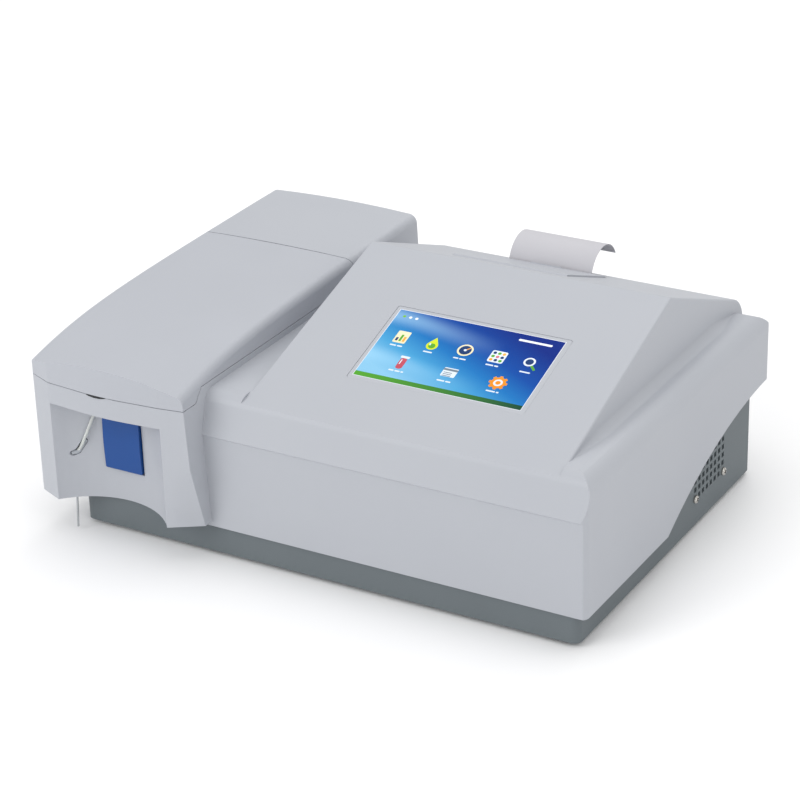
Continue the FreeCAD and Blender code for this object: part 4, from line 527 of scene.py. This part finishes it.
def rod(name, route, radius, kind, rings):
    """Round curve along a route, closed at both ends."""
    line = bpy.data.curves.new(name, "CURVE")
    line.dimensions, line.resolution_u, line.use_fill_caps = "3D", 8, True
    line.bevel_depth, line.bevel_resolution = radius * MM, rings
    spline = line.splines.new(kind)
    spline.points.add(len(route) - 1)
    for point, spot in zip(spline.points, route):
        point.co = (*(c * MM for c in spot), 1.0)
    piece = bpy.data.objects.new(name, line)
    bpy.context.scene.collection.objects.link(piece)
    return piece


def scoop_painted_shade():
    """Dark strip sunk in the fingertip scoop under the lid's front edge: painted shade for the scoop's
    shadowed undercut.
    """
    shade_strip = block(*SHADE_STRIP_SIZE)
    apply_new(shade_strip, "BEVEL", width=SHADE_STRIP_ROUND * MM, segments=2)
    shade_strip.name = "scoop_painted_shade_strip"
    seat(shade_strip, Matrix.Translation(Vector(SHADE_STRIP_MIDDLE) * MM))
    smooth(shade_strip, 40)
    return hand_over(shade_strip, "chassis", RUBBER_AND_PAINTED_SHADE, slot="rubber")


def slot_gasket():
    """Soft lining of the slanted slot, sunk in the recess wall round the sample tube."""
    choose(rod("slot_gasket", LINING_ROUTE, LINING_RADIUS, "POLY", 4))
    bpy.ops.object.convert(target="MESH")
    piece = bpy.context.object
    smooth(piece, 50)
    return hand_over(piece, "chassis", GREY_PLASTIC, slot="rubber")


def serial_pins():
    """Nine gold pins in two rows inside the D shell."""
    rows = [(PINS_X + PIN_PITCH * (i - 2), UPPER_PINS_Z) for i in range(5)]
    rows += [(PINS_X + PIN_PITCH * (i - 1.5), LOWER_PINS_Z) for i in range(4)]
    piece = join("serial_pins", [pin(x, z) for x, z in rows])
    smooth(piece, 40)
    return hand_over(piece, "chassis", BRASS, slot="brass")


def rocker_marks():
    """Bar and ring for on and off, moulded into the two faces of the rocker."""
    bpy.ops.mesh.primitive_torus_add(major_radius=RING_RADIUS * MM, minor_radius=RING_THICK * MM,
                                     major_segments=28, minor_segments=8)
    ring = bpy.context.object
    bar = block(*BAR_SIZE)
    apply_new(bar, "BEVEL", width=BAR_ROUND * MM, segments=2)
    tilt = Matrix.Translation(ROCKER_AXIS) @ Matrix.Rotation(math.radians(ROCKER_TURN), 4, "Z")
    tilt = tilt @ Matrix.Translation(-ROCKER_AXIS)
    seat(ring, tilt @ turned(RING_SPOT, (FACE_RUN, FACE_LEAN, 0), (0, 0, 1)))
    seat(bar, tilt @ turned(BAR_SPOT, (FACE_RUN, -FACE_LEAN, 0), (0, 0, 1)))
    piece = join("rocker_marks", [ring, bar])
    smooth(piece, 50)
    return hand_over(piece, "rocker", PAPER, slot="dark_plastic")


# Painted shade in the lid's fingertip scoop
scoop_painted_shade()
slot_gasket()
serial_pins()
rocker_marks()


# Display

GLASS_SIZE, GLASS_CORNER, GLASS_EDGE, GLASS_LIFT = (139, 80, 1.8), 1.8, 0.12, -1.1
# The lit picture and the thin line round it: middle, width and height
PICTURE, PICTURE_EDGE = (-0.4, 0.4, 131.6, 72.8), (-0.4, 0.4, 132.5, 73.7)
FOOT_BAR, HEADING_BAR = (-0.4, -33.8, 131.6, 4.4), (45, 30.5, 26, 2.0)
# Printed plates are this thick, and the picture lies this far under the screen's plane
PLATE_THICK, PICTURE_DEPTH = 0.02, 0.15
# Heights of the two rows of symbols, and of a label under its symbol
UPPER, LOWER, LABEL_DROP = 9.5, -15.0, 9.2
LABEL_HIGH, LABEL_GAP, LABEL_CORNER = 1.3, 0.8, 0.4
# Strength of the glow of the symbols and of the picture behind them
SYMBOL_GLOW, SKY_GLOW = 0.1, 0.08
# The picture's blend: its size, how fast it deepens across and up, its depth in the middle, and the
# colours by depth
SKY_SIZE, SKY_ACROSS, SKY_UP, SKY_MIDDLE = (133, 74), 0.62, 0.75, 0.5
SKY_STOPS = ((0.0, "84BCDC"), (0.26, "4499CA"), (0.48, "1A70B4"), (0.68, "08489C"), (1.0, "04267C"))
# Two light sweeps, each with its height, half width and strength, waved and fading to the right
SWEEPS, SWEEP_TINT = ((0.27, 0.17, 0.42), (-0.30, 0.15, 0.3)), "B4E0F6"
WAVE_RATE, WAVE_HEIGHT, FADE_START, FADE_END = 2.2, 0.16, -0.5, 0.2


def on_screen(x, y, lift=0.0):
    """Matrix of a place on the display, from its middle."""
    return PANEL @ Matrix.Translation(Vector((x, y, lift)) * MM)


def along_panel(material, x, y, scale):
    """Coordinates along the slanted display, from a place on it and in steps of a scale."""
    place = add(material, "ShaderNodeTexCoord", {}, {}).outputs["Object"]
    local = add(material, "ShaderNodeMapping",
                {"vector_type": "TEXTURE", "Location": on_screen(x, y).translation,
                 "Rotation": (SLOPE, 0, 0), "Scale": scale}, {"Vector": place})
    return add(material, "ShaderNodeSeparateXYZ", {}, {"Vector": local.outputs["Vector"]})


def backlit(material, shader, colour, glow):
    """Shows a colour on the surface and in a faint glow."""
    material.node_tree.links.new(colour, shader.inputs["Base Color"])
    material.node_tree.links.new(colour, shader.inputs["Emission Color"])
    shader.inputs["Emission Strength"].default_value = glow
    return material


def lit(name, low, high, span, low_y=0.0, low_x=None):
    """Backlit colour behind polished glass, blended over a span up the panel, or across from low_x."""
    material, shader = new_material(name, Roughness=0.3, IOR=1.5, Specular_IOR_Level=0.15)
    split = along_panel(material, low_x or 0, low_y, (span * MM,) * 3)
    way = "Y" if low_x is None else "X"
    ramp = add(material, "ShaderNodeValToRGB", {}, {"Fac": split.outputs[way]})
    ramp.color_ramp.elements[0].color = linear(low)
    ramp.color_ramp.elements[1].color = linear(high)
    return backlit(material, shader, ramp.outputs["Color"], SYMBOL_GLOW)


def sky():
    """Screen background: deep blue at the top right, pale towards the left, with two soft light sweeps."""
    material, shader = new_material("backlit_display_blue", Roughness=0.3, IOR=1.5, Specular_IOR_Level=0.12)
    split = along_panel(material, 0, 0, (SKY_SIZE[0] * MM, SKY_SIZE[1] * MM, 1))
    across = add(material, "ShaderNodeMath", {"operation": "MULTIPLY_ADD", 1: SKY_ACROSS, 2: SKY_MIDDLE},
                 {0: split.outputs["X"]})
    depth = add(material, "ShaderNodeMath", {"operation": "MULTIPLY_ADD", 1: SKY_UP},
                {0: split.outputs["Y"], 2: across.outputs[0]})
    base = add(material, "ShaderNodeValToRGB", {}, {"Fac": depth.outputs[0]})
    stops = base.color_ramp.elements
    stops[0].color, stops[1].color = linear(SKY_STOPS[0][1]), linear(SKY_STOPS[-1][1])
    for spot, colour in SKY_STOPS[1:-1]:
        stops.new(spot).color = linear(colour)
    bend = add(material, "ShaderNodeMath", {"operation": "MULTIPLY", 1: WAVE_RATE}, {0: split.outputs["X"]})
    wave = add(material, "ShaderNodeMath", {"operation": "SINE"}, {0: bend.outputs[0]})
    lift = add(material, "ShaderNodeMath", {"operation": "MULTIPLY_ADD", 1: WAVE_HEIGHT},
               {0: wave.outputs[0], 2: split.outputs["Y"]})
    fade = add(material, "ShaderNodeMapRange",
               {"From Min": FADE_START, "From Max": FADE_END, "To Min": 1.0, "To Max": 0.0},
               {"Value": split.outputs["X"]})
    glow = base.outputs["Color"]
    for middle, width, strength in SWEEPS:
        away = add(material, "ShaderNodeMath", {"operation": "SUBTRACT", 1: middle}, {0: lift.outputs[0]})
        size = add(material, "ShaderNodeMath", {"operation": "ABSOLUTE"}, {0: away.outputs[0]})
        band = add(material, "ShaderNodeMapRange", {"From Max": width, "To Min": strength, "To Max": 0.0,
                   "interpolation_type": "SMOOTHSTEP"}, {"Value": size.outputs[0]})
        share = add(material, "ShaderNodeMath", {"operation": "MULTIPLY"},
                    {0: band.outputs["Result"], 1: fade.outputs["Result"]})
        mixed = add(material, "ShaderNodeMix", {"data_type": "RGBA", MIX_B: linear(SWEEP_TINT)},
                    {"Factor": share.outputs[0], MIX_A: glow})
        glow = mixed.outputs[MIX_COLOUR]
    return backlit(material, shader, glow, SKY_GLOW)


def touch_panel():
    """Cover glass, its rim printed from behind in the colour of the housing."""
    glass = block(*GLASS_SIZE)
    open_edges(glass, lambda e: abs(e.verts[0].co.z - e.verts[1].co.z) > 1 * MM)
    bpy.ops.mesh.bevel(offset=GLASS_CORNER * MM, segments=5)
    close(glass)
    open_edges(glass, lambda e: all(v.co.z > 0 for v in e.verts) and len(e.link_faces) == 2
               and abs(e.link_faces[0].normal.z - e.link_faces[1].normal.z) > 0.5)
    bpy.ops.mesh.bevel(offset=GLASS_EDGE * MM, segments=2)
    close(glass)
    smooth(glass, 30)
    seat(glass, on_screen(0, 0, GLASS_LIFT))
    glass.name = "touch_panel"
    # Glass over a grey print is flat in colour, with an even, soft gloss.
    rim = grained("glass_printed_grey_behind", "B2B5BB", "AEB1B8", 3.0, 60, 0.4, 0.0, IOR=1.5)
    return hand_over(glass, "chassis", rim, "touch_glass", slot="screen_glass")


touch_panel()


def tile(x, y, wide, high, material, lift=0.0, turn=0.0, corner=0.0):
    """Thin rounded plate of light on the display, its turn in degrees."""
    bpy.ops.mesh.primitive_plane_add(size=1)
    plate = bpy.context.object
    plate.scale = (wide * MM, high * MM, 1)
    settle(plate)
    if corner:
        bpy.ops.object.mode_set(mode="EDIT")
        bpy.ops.mesh.select_all(action="SELECT")
        bpy.ops.mesh.bevel(offset=corner * MM, segments=4, affect="VERTICES")
        close(plate)
    return printed(plate, x, y, material, lift, turn)


def disc(x, y, radius, material, lift=0.0, sides=32):
    """Thin round plate of light on the display."""
    bpy.ops.mesh.primitive_circle_add(vertices=sides, radius=radius * MM, fill_type="NGON")
    return printed(bpy.context.object, x, y, material, lift, 0.0)


def printed(plate, x, y, material, lift, turn):
    """Gives a flat plate its thickness and lays it on the display."""
    plate.data.materials.append(material)
    apply_new(plate, "SOLIDIFY", thickness=PLATE_THICK * MM, offset=-1.0)
    spot = on_screen(x, y, lift - PICTURE_DEPTH)
    return seat(plate, spot @ Matrix.Rotation(math.radians(turn), 4, "Z"))


# Backlit colours grow paler up the panel, so each symbol looks lit from behind the glass.
# White of bars and pages is the brightest.
WHITE = lit("display_white", "D5DFE8", "FFFFFF", 74)
# Cream faces are softer than the white.
CREAM = lit("display_cream", "E3D9B0", "FBF8E6", 74)
# Leaf green, warm amber, muted rose and sharp lime carry the symbols.
GREEN = lit("display_green", "4E9A2E", "9AD04A", 74)
AMBER = lit("display_amber", "E08A1E", "FFC868", 60, LOWER)
ROSE = lit("display_rose", "B84A5A", "E79AA2", 60, LOWER)
LIME = lit("display_lime", "C8D82A", "F0F070", 60, UPPER)
# Navy and slate stand dark against the pale faces.
NAVY = lit("display_navy", "14305E", "2C5C9E", 74)
SLATE = lit("display_grey", "6E7C88", "A9B4BE", 74)


def label(x, y, widths):
    """Row of short bars under a symbol, in place of words."""
    bars = []
    start = x - (sum(widths) + LABEL_GAP * (len(widths) - 1)) / 2
    for wide in widths:
        bars.append(tile(start + wide / 2, y, wide, LABEL_HIGH, WHITE, corner=LABEL_CORNER))
        start += wide + LABEL_GAP
    return bars


def chart_symbol(x, y):
    """Page with three bars of a chart."""
    page = [tile(x, y, 10, 12.5, CREAM, corner=1.0)]
    for i, (high, tone) in enumerate(((3.5, NAVY), (7.0, GREEN), (5.2, AMBER))):
        page.append(tile(x - 2.8 + 2.8 * i, y - 4.4 + high / 2, 1.8, high, tone, lift=0.03))
    return page


def drop_symbol(x, y):
    """Drop of liquid with a small shine."""
    return [disc(x, y - 2.2, 4.4, LIME),
            disc(x, y + 2.2, 4.4, LIME, lift=0.006, sides=3),
            disc(x, y - 2.6, 2.6, GREEN, lift=0.03),
            tile(x - 1.9, y - 1.2, 0.9, 2.4, WHITE, lift=0.05, turn=12, corner=0.3)]


def dial_symbol(x, y):
    """Round dial with its pointer."""
    return [disc(x, y, 6.0, CREAM),
            disc(x, y, 4.6, NAVY, lift=0.02),
            tile(x + 1.2, y + 1.2, 0.9, 5.2, AMBER, lift=0.04, turn=-45),
            disc(x, y, 1.1, WHITE, lift=0.06)]


def wells_symbol(x, y):
    """Plate with nine wells."""
    wells = [tile(x, y, 12, 12, WHITE, corner=1.4)]
    for i, tone in enumerate((NAVY, GREEN, AMBER, GREEN, ROSE, NAVY, AMBER, NAVY, GREEN)):
        column, row = i % 3, i // 3
        wells.append(disc(x - 3.6 + 3.6 * column, y + 3.6 - 3.6 * row, 1.35, tone, lift=0.03, sides=20))
    return wells


def lens_symbol(x, y):
    """Magnifying lens with its handle."""
    return [tile(x + 3.2, y - 3.4, 1.9, 7.0, GREEN, turn=45, corner=0.5),
            disc(x - 1.2, y + 1.4, 4.4, WHITE, lift=0.02),
            disc(x - 1.2, y + 1.4, 3.0, NAVY, lift=0.04)]


def tube_symbol(x, y):
    """Sample tube with a cap."""
    return [tile(x, y - 1, 5.2, 11.5, ROSE, corner=2.2),
            tile(x, y + 5.6, 7.0, 2.2, WHITE, lift=0.03, corner=0.5),
            tile(x - 1.2, y + 0.4, 0.8, 5.0, WHITE, lift=0.03, corner=0.3)]


def page_symbol(x, y):
    """Page with a heading and three lines."""
    page = [tile(x, y, 11, 9, WHITE, corner=0.8), tile(x, y + 2.6, 11, 2.0, SLATE, lift=0.02)]
    return page + [tile(x - 1, y - 0.4 - 1.7 * i, 6.5, 0.7, SLATE, lift=0.03) for i in range(3)]


def gear_symbol(x, y):
    """Gear with eight teeth round a hub."""
    gear = []
    for angle in (math.pi / 4 * k for k in range(8)):
        gear.append(tile(x + 5.6 * math.cos(angle), y + 5.6 * math.sin(angle), 2.6, 2.4, AMBER,
                         turn=math.degrees(angle), corner=0.3))
    return gear + [disc(x, y, 5.6, AMBER, lift=0.02),
                   disc(x, y, 3.4, WHITE, lift=0.04),
                   disc(x, y, 1.9, AMBER, lift=0.06)]


def symbols():
    """Lit picture with two rows of touch symbols, a heading bar and a foot bar."""
    # A thin pale grey line, faintly glowing and paler up the panel, edges the picture.
    edge = tile(*PICTURE_EDGE, lit("display_edge", "D9DEE4", "EEF1F4", 74), lift=-0.035)
    picture = join("display_picture", [tile(*PICTURE, sky(), lift=-0.015), edge])
    hand_over(picture, "chassis", None, slot="screen_glass")
    rows = [("chart", chart_symbol, -51, UPPER, (5, 4)), ("drop", drop_symbol, -25.5, UPPER, (7,)),
            ("dial", dial_symbol, 0, UPPER, (4, 5)), ("wells", wells_symbol, 25.5, UPPER, (6, 3)),
            ("lens", lens_symbol, 51, UPPER, (8,)), ("tube", tube_symbol, -38, LOWER, (4, 4, 2)),
            ("page", page_symbol, 0, LOWER, (6, 4)), ("gear", gear_symbol, 38, LOWER, (7, 2))]
    for name, maker, x, y, widths in rows:
        piece = join(f"symbol_{name}", maker(x, y) + label(x, y - LABEL_DROP, widths))
        hand_over(piece, "chassis", None, slot="screen_glass")
    # Green along the foot is fresh at the left end and nearly black at the right.
    foot = lit("display_foot_green", "4F9A2A", "08402E", 134, 0, -66.5)
    bars = [tile(*FOOT_BAR, foot), tile(*HEADING_BAR, WHITE, corner=0.7)]
    bars += [disc(-60 + 5 * i, 30.5, 1.2, tone) for i, tone in enumerate((GREEN, WHITE, WHITE))]
    hand_over(join("display_bars", bars), "chassis", None, slot="screen_glass")


symbols()


# Tubing

SAMPLE_ROUTE = [(-189.4, -153.5, 64.5), (-185.5, -153.6, 65.5), (-180, -154.3, 75), (-171.6, -151, 96),
                (-170.9, -142, 107), (-170, -122, 111), (-164, -40, 111), (-160, 10, 116), (-159, 30, 130),
                (-159, 34, 122), (-159, 34, 114)]
PUMP_ROUTE = [(-141, 34, 114), (-141, 34, 122), (-141, 29, 130), (-140, 12, 124), (-137.2, -20, 112),
              (-135.2, -40, 111), (-135.2, -95.2, 111), (-100.8, -95.2, 111), (-100.8, -40, 111)]
WASTE_ROUTE = [(-100.8, -40, 111), (-100.8, -32, 111), (-89, -22, 112), (-89, -21, 90), (-84, -6, 62),
               (-84, 40, 44), (-98, 88, 38), (-136, 108, 37), (-140, 122, 37.6), (-140, 137.5, 38)]


def hose(name, node, route, radius):
    """Soft tube on one smooth curve along its route."""
    piece = rod(name, route, radius, "NURBS", 3)
    spline = piece.data.splines[0]
    spline.order_u, spline.use_endpoint_u = 3, True
    hand_over(piece, "chassis", TUBING, node, slot="tubing")
    return piece


hose("sample_hose", "sipper_tube", SAMPLE_ROUTE, 1.2)
hose("pump_hose", "pump_tube", PUMP_ROUTE, 1.5)
hose("waste_hose", "waste_tube", WASTE_ROUTE, 1.5)


# Lights, floor and camera, with places and sizes in metres

FLOOR_SIDE = 8
SKYLIGHT = 0.74
# The photograph's view in degrees: round to the right, up and rolled
VIEW_ROUND, VIEW_UP, VIEW_ROLL = 30.53, 25.44, 1.78
CAMERA_PLACE = (0.87413, -1.48948, 0.90184)
# Focal length and sensor width in millimetres
LENS, SENSOR = 116.775, 36

bpy.ops.mesh.primitive_plane_add(size=1, location=(0, 0, 0))
floor = bpy.context.object
floor.scale = (FLOOR_SIDE, FLOOR_SIDE, 1)
settle(floor)
floor.name = "table_top"
# Pale laminate is nearly white and matt, so it shows little but the shadow.
floor.data.materials.append(grained("pale_laminate", "FDFDFD", "FAFAFB", 4.0, 300, 0.6, 0.0, IOR=1.45))


def soft_light(name, spot, aim, width, power):
    """Square white softbox that faces a point, its power in watts."""
    bpy.ops.object.light_add(type="AREA", location=spot)
    lamp = bpy.context.object
    lamp.name, lamp.data.size, lamp.data.energy = name, width, power
    lamp.rotation_euler = (Vector(aim) - Vector(spot)).to_track_quat("-Z", "Y").to_euler()


soft_light("key_softbox", (-1.3, -2.1, 1.5), (0, 0, 0.08), 1.6, 26)
soft_light("top_softbox", (0.2, 0.3, 2.4), (0, 0, 0.1), 2.0, 14)
soft_light("side_softbox", (2.0, -0.8, 1.5), (0, 0, 0.12), 1.2, 7.5)
soft_light("back_softbox", (-0.4, 2.6, 2.2), (-0.6, 1.9, 0), 2.0, 16)
world = bpy.data.worlds.new("studio")
bpy.context.scene.world = world
world.use_nodes = True
background = world.node_tree.nodes["Background"]
background.inputs["Color"].default_value = linear("FFFFFF")
background.inputs["Strength"].default_value = SKYLIGHT

bpy.ops.object.camera_add()
camera = bpy.context.object
turn = Matrix.Rotation(math.radians(VIEW_ROUND), 4, "Z")
lean = Matrix.Rotation(math.radians(90 - VIEW_UP), 4, "X")
roll = Matrix.Rotation(math.radians(-VIEW_ROLL), 4, "Z")
camera.matrix_world = turn @ lean @ roll
camera.location = CAMERA_PLACE
camera.data.lens, camera.data.sensor_width = LENS, SENSOR
camera.data.clip_start = 0.05
bpy.context.scene.camera = camera
bpy.context.scene.view_settings.view_transform = "Standard"
